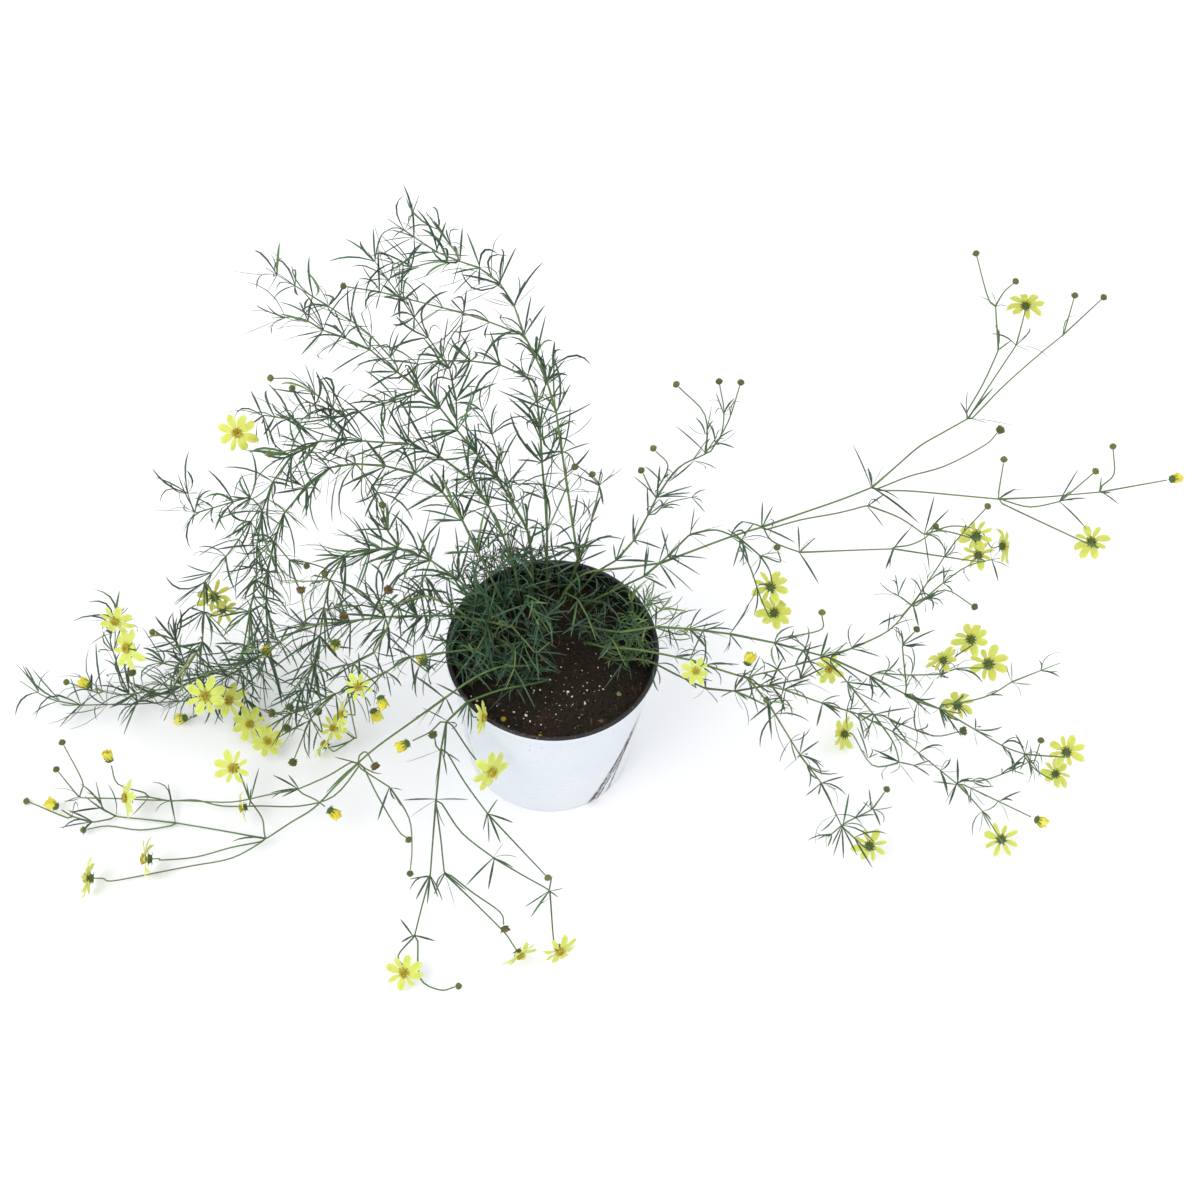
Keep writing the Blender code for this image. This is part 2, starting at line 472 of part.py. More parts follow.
def material(name, colour, roughness):
    """A plain finish with a colour and a roughness."""
    finish = bpy.data.materials.new(name)
    finish.use_nodes = True
    shader = finish.node_tree.nodes["Principled BSDF"]
    shader.inputs["Base Color"].default_value = (*colour, 1.0)
    shader.inputs["Roughness"].default_value = roughness
    finish.diffuse_color = (*colour, 1.0)
    return finish


def add_object(name, points, faces_of, finish, smooth=False):
    """Make one named mesh object from points and faces."""
    mesh = bpy.data.meshes.new(name)
    mesh.from_pydata([tuple(point) for point in points], [], faces_of)
    mesh.validate()
    if smooth:
        mesh.shade_smooth()
        mesh.set_sharp_from_angle(angle=math.radians(40))
    mesh.materials.append(finish)
    made = bpy.data.objects.new(name, mesh)
    bpy.context.scene.collection.objects.link(made)
    return made


def pot_radius(height):
    """The outer radius of the pot's wall at a height."""
    return FOOT_RADIUS + (RIM_RADIUS - LIP_OVERHANG - FOOT_RADIUS) * height / POT_HEIGHT


def turned(name, profile, sides, finish):
    """Turn a closed profile of (radius, height) points, or one that ends on the axis."""
    shell = bmesh.new()
    corners = [shell.verts.new((radius, 0.0, height)) for radius, height in profile]
    edges = [shell.edges.new((low, high)) for low, high in zip(corners, corners[1:])]
    bmesh.ops.spin(shell, geom=corners + edges, axis=(0, 0, 1), cent=(0, 0, 0),
                   steps=sides, angle=2 * math.pi)
    bmesh.ops.remove_doubles(shell, verts=shell.verts, dist=0.00002)
    bmesh.ops.recalc_face_normals(shell, faces=shell.faces)
    mesh = bpy.data.meshes.new(name)
    shell.to_mesh(mesh)
    shell.free()
    mesh.shade_smooth()
    mesh.set_sharp_from_angle(angle=math.radians(30))
    mesh.materials.append(finish)
    made = bpy.data.objects.new(name, mesh)
    bpy.context.scene.collection.objects.link(made)
    return made


def make_pot(finish):
    """The thin tapering pot with its lip, its resting pad, the channel round it and its holes."""
    floor_top = FOOT_RAISE + FLOOR_THICKNESS
    profile = [
        (0.0, 0.0),
        (FOOT_PAD_RADIUS, 0.0),
        (FOOT_PAD_RADIUS + FOOT_RAISE, FOOT_RAISE),
        (FOOT_RADIUS - FOOT_RING_WIDTH - FOOT_RAISE, FOOT_RAISE),
        (FOOT_RADIUS - FOOT_RING_WIDTH, 0.0),
        (FOOT_RADIUS, 0.0),
        (pot_radius(POT_HEIGHT - LIP_DEPTH), POT_HEIGHT - LIP_DEPTH),
        (RIM_RADIUS, POT_HEIGHT - LIP_DEPTH + LIP_OVERHANG),
        (RIM_RADIUS, POT_HEIGHT - LIP_EDGE),
        (RIM_RADIUS - LIP_EDGE, POT_HEIGHT),
        (pot_radius(POT_HEIGHT) - WALL, POT_HEIGHT),
        (pot_radius(floor_top) - WALL, floor_top),
        (0.0, floor_top),
    ]
    pot = turned("pot", profile, POT_SIDES, finish)
    for number in range(DRAIN_HOLES):
        turn = 2 * math.pi * (number + 0.5) / DRAIN_HOLES
        place = (DRAIN_HOLE_REACH * math.cos(turn), DRAIN_HOLE_REACH * math.sin(turn), floor_top / 2)
        drill(pot, place, DRAIN_HOLE_RADIUS, 4 * floor_top, DRAIN_HOLE_SIDES)
    return pot


def drill(target, centre, radius, length, sides):
    """Cut one upright round hole, with its middle at a point, through or into an object."""
    bpy.ops.mesh.primitive_cylinder_add(vertices=sides, radius=radius, depth=length, location=centre)
    cutter = bpy.context.object
    cut = target.modifiers.new("hole", "BOOLEAN")
    cut.operation = "DIFFERENCE"
    cut.solver = "EXACT"
    cut.object = cutter
    bpy.ops.object.select_all(action="DESELECT")
    target.select_set(True)
    bpy.context.view_layer.objects.active = target
    bpy.ops.object.modifier_apply(modifier=cut.name)
    bpy.data.objects.remove(cutter, do_unlink=True)


def soil_height(x, y):
    """The soil's surface: low rounded clods, a little higher at the crown."""
    clods = math.sin(95 * x + 1.3) * math.cos(110 * y - 0.4) + 0.5 * math.sin(210 * x - 170 * y)
    return SOIL_LEVEL + SOIL_RELIEF * clods / 1.5


def make_soil(finish, roots):
    """The filling of the pot, with relief on top and one plain hole for each root."""
    floor_top = FOOT_RAISE + FLOOR_THICKNESS
    reach = pot_radius(SOIL_LEVEL) - WALL - SOIL_GAP
    base_reach = pot_radius(floor_top + SOIL_GAP) - WALL - SOIL_GAP
    flat = math.cos(math.pi / POT_SIDES)
    points = [Vector((0.0, 0.0, soil_height(0.0, 0.0)))]
    for ring in range(1, SOIL_RINGS + 1):
        radius = reach * flat * ring / SOIL_RINGS
        for side in range(SOIL_SIDES):
            turn = 2 * math.pi * side / SOIL_SIDES
            x, y = radius * math.cos(turn), radius * math.sin(turn)
            height = SOIL_LEVEL - SOIL_EDGE if ring == SOIL_RINGS else soil_height(x, y)
            points.append(Vector((x, y, height)))
    tris = [(0, 1 + side, 1 + (side + 1) % SOIL_SIDES) for side in range(SOIL_SIDES)]
    for ring in range(1, SOIL_RINGS):
        inner = 1 + (ring - 1) * SOIL_SIDES
        outer = inner + SOIL_SIDES
        for side in range(SOIL_SIDES):
            after = (side + 1) % SOIL_SIDES
            tris.append((inner + side, outer + side, outer + after))
            tris.append((inner + side, outer + after, inner + after))
    top = 1 + (SOIL_RINGS - 1) * SOIL_SIDES
    bottom = len(points)
    for side in range(SOIL_SIDES):
        turn = 2 * math.pi * side / SOIL_SIDES
        radius = base_reach * flat
        points.append(Vector((radius * math.cos(turn), radius * math.sin(turn), floor_top + SOIL_GAP)))
    for side in range(SOIL_SIDES):
        after = (side + 1) % SOIL_SIDES
        tris.append((top + side, bottom + side, bottom + after))
        tris.append((top + side, bottom + after, top + after))
    tris.append(tuple(bottom + side for side in reversed(range(SOIL_SIDES))))
    soil = add_object("soil", points, tris, finish)
    for place, radius in roots:
        deep = ROOT_DEPTH + ROOT_HOLE_CLEARANCE
        width = (radius + ROOT_HOLE_CLEARANCE) / math.cos(math.pi / ROOT_HOLE_SIDES)
        drill(soil, place, width, 2 * deep, ROOT_HOLE_SIDES)
    return soil


class Growth:
    """One closed body that grows: a triangle of its skin is drawn out into a tube or a leaf."""

    def __init__(self):
        self.points = []
        self.tris = []

    def start(self, centre, axis, radius):
        """Begin with one triangle that has two sides, and return the side that faces the axis."""
        lead = axis.orthogonal().normalized()
        ring = self.ring(centre, axis, radius, lead)
        self.tris.append((ring[0], ring[2], ring[1]))
        self.tris.append(tuple(ring))
        return len(self.tris) - 1

    def ring(self, centre, axis, radius, lead):
        """Add three points round an axis, the first of them towards the lead."""
        axis = axis.normalized()
        first = (lead - axis * lead.dot(axis)).normalized()
        second = axis.cross(first)
        added = []
        for number in range(3):
            turn = 2 * math.pi * number / 3
            offset = first * math.cos(turn) + second * math.sin(turn)
            self.points.append(centre + offset * radius)
            added.append(len(self.points) - 1)
        return added

    def lead_of(self, face, axis):
        """The direction that carries a triangle's corners on to the next ring with no twist."""
        corners = [self.points[index] for index in self.tris[face]]
        middle = sum(corners, Vector()) / 3
        first = corners[0] - middle
        first = (first - axis * first.dot(axis)).normalized()
        second = axis.cross(first)
        total = complex(0, 0)
        for number, corner in enumerate(corners):
            offset = corner - middle
            angle = math.atan2(offset.dot(second), offset.dot(first))
            total += complex(math.cos(angle - 2 * math.pi * number / 3),
                             math.sin(angle - 2 * math.pi * number / 3))
        turn = math.atan2(total.imag, total.real)
        return first * math.cos(turn) + second * math.sin(turn)

    def draw_out(self, face, centres, axes, radii, half_turns=()):
        """Draw a triangle out through rings, and return the last triangle and each ring's sides."""
        sides = []
        for number, (centre, axis, radius) in enumerate(zip(centres, axes, radii)):
            axis = axis.normalized()
            lead = self.lead_of(face, axis)
            if number in half_turns:
                lead = Matrix.Rotation(math.pi / 3, 3, axis) @ lead
            old = self.tris[face]
            new = self.ring(centre, axis, radius, lead)
            made = []
            for k in range(3):
                a, b = old[k], old[(k + 1) % 3]
                c, d = new[k], new[(k + 1) % 3]
                made.append(len(self.tris))
                self.tris.append((a, b, c) if number in half_turns else (a, b, d))
                made.append(len(self.tris))
                self.tris.append((b, d, c) if number in half_turns else (a, d, c))
            self.tris[face] = tuple(new)
            sides.append(made)
        return face, sides

    def close(self, face, tip):
        """Close a triangle with a point."""
        a, b, c = self.tris[face]
        self.points.append(tip)
        top = len(self.points) - 1
        self.tris[face] = (a, b, top)
        self.tris.append((b, c, top))
        self.tris.append((c, a, top))

    def middle(self, face):
        """The middle of a triangle."""
        return sum((self.points[index] for index in self.tris[face]), Vector()) / 3

    def normal(self, face):
        """The outward direction of a triangle."""
        a, b, c = (self.points[index] for index in self.tris[face])
        return (b - a).cross(c - a).normalized()

    def mark(self, face):
        """A mark that growth from a triangle can be undone to."""
        return len(self.points), len(self.tris), face, self.tris[face]

    def undo(self, mark):
        """Take back all that grew since a mark."""
        points, tris, face, corners = mark
        del self.points[points:]
        del self.tris[tris:]
        self.tris[face] = corners

    def crosses(self, mark):
        """Whether what grew since a mark runs through the body or through itself."""
        points = np.array(self.points)
        tris = np.array(self.tris)
        grown = np.zeros(len(tris), dtype=bool)
        grown[mark[1]:] = True
        grown[mark[2]] = True
        low = points[tris[grown]].min(axis=(0, 1)) - TOUCH
        high = points[tris[grown]].max(axis=(0, 1)) + TOUCH
        corners = points[tris]
        local = ((corners.max(axis=1) > low) & (corners.min(axis=1) < high)).all(axis=1)
        return (is_pierced(points, tris[local], edges_of(tris[grown]))
                or is_pierced(points, tris[grown], edges_of(tris[local])))


def edges_of(tris):
    """The edges of some triangles, each once."""
    edges = np.concatenate([tris[:, [0, 1]], tris[:, [1, 2]], tris[:, [2, 0]]])
    return np.unique(np.sort(edges, axis=1), axis=0)


def is_pierced(points, tris, edges):
    """Whether an edge runs through a triangle that it shares no corner with."""
    base = points[tris[:, 0]][None]
    side = points[tris[:, 1]][None] - base
    rise = points[tris[:, 2]][None] - base
    start = points[edges[:, 0]][:, None]
    run = points[edges[:, 1]][:, None] - start
    across = np.cross(run, rise)
    lean = (side * across).sum(axis=2)
    lean = np.where(np.abs(lean) < TINY * TINY, TINY * TINY, lean)
    away = start - base
    along_side = (away * across).sum(axis=2) / lean
    turned_away = np.cross(away, np.broadcast_to(side, away.shape))
    along_rise = (run * turned_away).sum(axis=2) / lean
    share = (rise * turned_away).sum(axis=2) / lean
    slack = TOUCH / np.linalg.norm(run, axis=2)
    hit = ((along_side > -TOUCH_SHARE) & (along_rise > -TOUCH_SHARE)
           & (along_side + along_rise < 1 + TOUCH_SHARE) & (share > -slack) & (share < 1 + slack))
    for corner in range(3):
        for end in range(2):
            hit &= edges[:, end][:, None] != tris[:, corner][None]
    return bool(hit.any())


class Path:
    """One stem, shoot or stalk: the places on it, the leaves at each and how it ends."""

    def __init__(self, layout, stem, order, line, known, starts):
        spots, head, end = line
        self.stem = stem
        self.order = order
        self.end = end if isinstance(end, str) else BLOOM
        self.facing = None if isinstance(end, str) else heading(end[1], end[2])
        self.size = 1.0 if isinstance(end, str) else end[3]
        self.radius = SHOOT_RADIUS if order else STEM_RADIUS
        self.rings = []
        self.leaves = {}
        if order:
            self.rings.append(known[spots[0]])
        else:
            base = spot(*spots[0])
            self.rings.append(layout.add(base - Vector((0, 0, ROOT_DEPTH))))
            self.rings.append(layout.add(base + Vector((0, 0, ROOT_RISE))))
        onward = [entry[:3] for entry in spots[2:]] + [head]
        for entry, after in zip(spots[1:], onward):
            place = spot(*entry[:3])
            before = layout.places[self.rings[-1]]
            if len(entry) == 3 and entry[:2] not in starts:
                if is_plain_spot(before, place, spot(*after), after is head):
                    continue
            if (place - before).length > RING_SPACING:
                self.rings.append(layout.add((place + before) / 2))
            number = layout.add(place)
            self.rings.append(number)
            known[entry[:2]] = number
            layout.keys[number] = entry[:2]
            if len(entry) > 3:
                self.leaves[number] = entry[3]
        self.head = layout.add(spot(*head))
        if self.end == BLOOM:
            self.set_approach(layout)

    def set_approach(self, layout):
        """Shift a bloom, and the spot before it, along the sight until its stalk is behind it."""
        last = self.rings[-1]
        head, before = layout.places[self.head], layout.places[last]
        is_own = len(self.rings) > 1
        best = None
        for shift in np.arange(-APPROACH_SHIFT, APPROACH_SHIFT + MM, 2 * MM):
            moved = head + (head - EYE).normalized() * shift
            droop = math.sqrt(1 - self.facing.z ** 2) * (DISC_RADIUS + PETAL_LENGTH) * self.size
            if moved.z < droop + PETAL_ROOM:
                continue
            for other in (BEFORE_SHIFTS if is_own else (0.0,)):
                start = before + (before - EYE).normalized() * other
                turn = self.facing.angle(moved - start)
                cost = abs(shift) + abs(other) + TURN_COST * max(turn - APPROACH_ANGLE, 0.0)
                if start.z > 2 * PETAL_ROOM and (best is None or cost < best[0]):
                    best = (cost, moved, start)
        if best:
            layout.places[self.head], layout.places[last] = best[1], best[2]
        run = layout.places[self.head] - layout.places[last]
        turn = self.facing.angle(run)
        if turn > APPROACH_LIMIT:
            way = run.normalized()
            self.facing = self.facing.slerp(way, (turn - APPROACH_LIMIT) / turn)
        straight = max(min(STALK_STRAIGHT, run.length * STRAIGHT_SHARE), STRAIGHT_LEAST) * self.size
        offset = -self.facing * straight
        self.rings.append(layout.add(layout.places[self.head] + offset))
        layout.tied[self.rings[-1]] = (self.head, offset)

    def axis(self, layout, order):
        """The direction of growth at a ring, halfway between the stretches that meet there."""
        run = [layout.places[number] for number in self.rings + [self.head]]
        onward = (run[order + 1] - run[order]).normalized()
        if not order:
            return onward
        return (onward + (run[order] - run[order - 1]).normalized()).normalized()

    def thickness(self, order):
        """The radius at a ring: a stem tapers to the thickness of a flower stalk."""
        share = order / len(self.rings)
        return self.radius + (STALK_RADIUS - self.radius) * share


def is_plain_spot(before, place, after, is_last):
    """Whether a spot that carries nothing can be left out: the path hardly bends there."""
    one, two = place - before, after - place
    if is_last and two.length < PLAIN_END:
        return True
    return one.length + two.length < PLAIN_REACH and one.angle(two) < PLAIN_ANGLE


class Layout:
    """The places that the paths run through, each shared by the paths that meet there."""

    def __init__(self):
        self.places = []
        self.tied = {}
        self.keys = {}
        self.fixed = set()
        self.paths = []
        for stem, lines in STEMS.items():
            known = {}
            starts = {line[0][0] for line in lines[1:]}
            for order, line in enumerate(lines):
                path = Path(self, stem, order, line, known, starts)
                self.paths.append(path)
                if not order:
                    self.fixed.update(path.rings[:2])
        self.branching = {path.rings[0] for path in self.paths if path.order}
        self.smooth()
        self.rods = self.all_rods()

    def add(self, place):
        """Keep a place and return its number."""
        self.places.append(Vector(place))
        return len(self.places) - 1

    def smooth(self):
        """Take sharp bends out of the paths along the sight, which leaves the view as it is."""
        for _ in range(SMOOTH_ROUNDS):
            for path in self.paths:
                run = path.rings + [path.head]
                for before, here, after in zip(run, run[1:], run[2:]):
                    if here in self.fixed or here in self.tied or after in self.tied:
                        continue
                    one = self.places[here] - self.places[before]
                    two = self.places[after] - self.places[here]
                    if one.angle(two) < SMOOTH_ANGLE:
                        continue
                    sight = (self.places[here] - EYE).normalized()
                    self.places[here] += sight * (two - one).dot(sight) * SMOOTH_SHARE

    def all_rods(self):
        """Every straight stretch: two places, offsets from them, radius, path and whether petal."""
        rods = []
        none = Vector()
        for number, path in enumerate(self.paths):
            run = path.rings + [path.head]
            for order, (one, two) in enumerate(zip(run, run[1:])):
                rods.append((one, two, none, none, path.thickness(order), number, False))
            if path.end == BLOOM:
                for reach in petal_reaches(path.facing, path.size):
                    rods.append((path.head, path.head, none, reach, PETAL_GUARD, number, True))
            elif path.end != TIP:
                rods.append((path.head, path.head, none, none, HEAD_RADII[path.end], number, False))
        return rods


def petal_reaches(facing, size):
    """From a bloom's middle to its petal tips."""
    side = facing.orthogonal().normalized()
    over = facing.cross(side)
    reach = (DISC_RADIUS + PETAL_LENGTH) * size
    return [(side * math.cos(2 * math.pi * (number + 0.5) / PETALS)
             + over * math.sin(2 * math.pi * (number + 0.5) / PETALS)) * reach
            for number in range(PETALS)]


def nearest(start_a, end_a, start_b, end_b):
    """Where pairs of stretches come nearest: the share along each, and the gap between them."""
    run_a, run_b, between = end_a - start_a, end_b - start_b, start_a - start_b
    aa = np.einsum("ij,ij->i", run_a, run_a) + TINY
    bb = np.einsum("ij,ij->i", run_b, run_b) + TINY
    ab = np.einsum("ij,ij->i", run_a, run_b)
    a_gap = np.einsum("ij,ij->i", run_a, between)
    b_gap = np.einsum("ij,ij->i", run_b, between)
    along_a = np.clip((ab * b_gap - a_gap * bb) / np.maximum(aa * bb - ab * ab, TINY), 0, 1)
    along_b = np.clip((ab * along_a + b_gap) / bb, 0, 1)
    along_a = np.clip((ab * along_b - a_gap) / aa, 0, 1)
    gap = start_a + run_a * along_a[:, None] - start_b - run_b * along_b[:, None]
    return along_a, along_b, gap


def pot_push(place, radius):
    """How far a point of a stem must rise, and go outwards, to clear pot, soil and surface."""
    reach = math.hypot(place.x, place.y)
    rise = max(0.0, radius + SURFACE_GAP - place.z)
    if place.z > POT_HEIGHT + radius + RIM_ROOM or reach > RIM_RADIUS + radius + RIM_ROOM:
        return rise, 0.0
    height = min(max(place.z, 0.0), POT_HEIGHT)
    inner = pot_radius(height) - WALL - radius - RIM_ROOM
    outer = RIM_RADIUS + radius + RIM_ROOM
    if reach < inner:
        return max(rise, SOIL_LEVEL + SOIL_ROOM - place.z), 0.0
    if place.z > POT_HEIGHT - RIM_SLIDE:
        return POT_HEIGHT + radius + RIM_ROOM - place.z, 0.0
    return rise, outer - reach


def bend_clear(layout):
    """Bend the paths clear of each other, along the sight, and clear of pot and soil."""
    columns = [np.array(column) for column in zip(*layout.rods)]
    one, two, off_one, off_two, radius, owner, petal = columns
    eye = np.array(EYE)
    heads = np.array([layout.paths[number].head for number in owner])
    lasts = np.array([layout.paths[number].rings[-1] for number in owner])
    firsts, seconds = np.triu_indices(len(one), 1)
    shared = ((one[firsts] == one[seconds]) | (one[firsts] == two[seconds])
              | (two[firsts] == one[seconds]) | (two[firsts] == two[seconds]))
    kin = owner[firsts] == owner[seconds]
    near_petal = petal[seconds] & ~petal[firsts] & (two[firsts] != lasts[seconds])
    shared |= kin & ~near_petal
    firsts, seconds = firsts[~shared], seconds[~shared]
    for turn in range(BEND_ROUNDS):
        places = np.array(layout.places)
        starts, ends = places[one] + off_one, places[two] + off_two
        middles, halves = (starts + ends) / 2, np.linalg.norm(ends - starts, axis=1) / 2
        reach = halves[firsts] + halves[seconds] + BEND_SIGHT
        near = np.linalg.norm(middles[firsts] - middles[seconds], axis=1) < reach
        left, right = firsts[near], seconds[near]
        along_l, along_r, gap = nearest(starts[left], ends[left], starts[right], ends[right])
        need = radius[left] + radius[right] + BEND_CLEARANCE
        tight = np.linalg.norm(gap, axis=1) < need
        moves = np.zeros_like(places)
        counts = np.zeros(len(places))
        for l, r, s, t, apart, room in zip(left[tight], right[tight], along_l[tight],
                                           along_r[tight], gap[tight], need[tight]):
            sight = starts[l] - eye
            sight /= np.linalg.norm(sight)
            depth = float(apart @ sight)
            aside = math.sqrt(max(float(apart @ apart) - depth * depth, 0.0))
            short = math.sqrt(max(room * room - aside * aside, 0.0)) - abs(depth)
            from_l = places[heads[l]] if petal[l] else starts[l] + (ends[l] - starts[l]) * s
            from_r = places[heads[r]] if petal[r] else starts[r] + (ends[r] - starts[r]) * t
            if petal[l] or petal[r]:
                depth = float((from_l - from_r) @ sight)
                short = max(short, BEND_STEP / 4)
            push = sight * (min(short, BEND_STEP) / 2 + BEND_LEAST) * (1 if depth >= 0 else -1)
            for number, weight, way in ((one[l], 1 - s, 1), (two[l], s, 1),
                                        (one[r], 1 - t, -1), (two[r], t, -1)):
                if weight > BEND_WEIGHT:
                    moves[number] += push * way
                    counts[number] += 1
        for number, (leader, offset) in layout.tied.items():
            moves[leader] += moves[number]
            counts[leader] += counts[number]
        for number in np.nonzero(counts)[0]:
            if number not in layout.fixed:
                layout.places[number] += Vector(moves[number] / counts[number] ** 0.5)
        pushed = clear_of_pot(layout) + steer_blooms(layout)
        for number, (leader, offset) in layout.tied.items():
            layout.places[number] = layout.places[leader] + offset
        if not tight.any() and not pushed:
            break


def steer_blooms(layout):
    """Move the blooms that have slipped in front of their stalk back along the sight."""
    steered = 0
    for path in layout.paths:
        if path.end != BLOOM:
            continue
        head = layout.places[path.head]
        if path.facing.angle(head - layout.places[path.rings[-2]]) > APPROACH_LIMIT + SLIP:
            steered += 1
            sight = (head - EYE).normalized()
            layout.places[path.head] = head + sight * math.copysign(2 * MM, path.facing.dot(sight))
    return steered


def clear_of_pot(layout):
    """Lift or slide the places whose stretches come too near the pot, the soil or the surface."""
    pushed = 0
    for one, two, off_one, off_two, radius, owner, petal in layout.rods:
        if one in layout.fixed and two in layout.fixed:
            continue
        start, end = layout.places[one] + off_one, layout.places[two] + off_two
        radius = PETAL_THICKNESS if petal else radius
        for share in POT_SHARES:
            place = start.lerp(end, share)
            rise, out = pot_push(place, radius)
            if rise < BEND_LEAST and out < BEND_LEAST:
                continue
            pushed += 1
            sight = (place - EYE).normalized()
            move = sight * (max(rise, 0.0) / sight.z)
            flat = Vector((place.x, place.y, 0.0)).normalized()
            move += flat * max(out, 0.0)
            for number in {one, two} - layout.fixed:
                leader = layout.tied[number][0] if number in layout.tied else number
                layout.places[leader] += move * POT_PUSH
            break
    return pushed


class Surroundings:
    """All the stretches that new growth must keep clear of, with what each is kin to."""

    def __init__(self, layout):
        self.starts, self.ends, self.radii, self.kin, self.rooted = [], [], [], [], []
        for one, two, off_one, off_two, radius, owner, petal in layout.rods:
            start, end = layout.places[one] + off_one, layout.places[two] + off_two
            self.add(start, end, radius, (one, two), False)

    def add(self, start, end, radius, kin, rooted):
        """Keep one stretch."""
        self.starts.append(start)
        self.ends.append(end)
        self.radii.append(radius)
        self.kin.append(kin)
        self.rooted.append(rooted)
        self.table = None

    def arrays(self):
        """The stretches as arrays."""
        if self.table is None:
            self.table = (np.array(self.starts), np.array(self.ends), np.array(self.radii),
                          np.array(self.kin), np.array(self.rooted))
        return self.table

    def is_free(self, run, radius, node):
        """Whether a run of points that starts at a node clears all that is there."""
        for start, end in zip(run, run[1:]):
            for share in POT_SHARES:
                rise, out = pot_push(start.lerp(end, share), radius)
                if rise > 0.0 or out > 0.0:
                    return False
        starts, ends, radii, kin, rooted = self.arrays()
        own = (kin[:, 0] == node) | (kin[:, 1] == node)
        low = np.min(run, axis=0) - LEAF_SIGHT
        high = np.max(run, axis=0) + LEAF_SIGHT
        near = ((np.maximum(starts, ends) > low) & (np.minimum(starts, ends) < high)).all(axis=1)
        for number, (start, end) in enumerate(zip(run, run[1:])):
            chosen = near & (~own if number == 0 else ~(own & rooted))
            count = int(chosen.sum())
            if not count:
                continue
            first = np.repeat(np.array(start)[None], count, axis=0)
            last = np.repeat(np.array(end)[None], count, axis=0)
            gap = nearest(first, last, starts[chosen], ends[chosen])[2]
            if (np.linalg.norm(gap, axis=1) < radii[chosen] + radius + CLEARANCE).any():
                return False
        return True


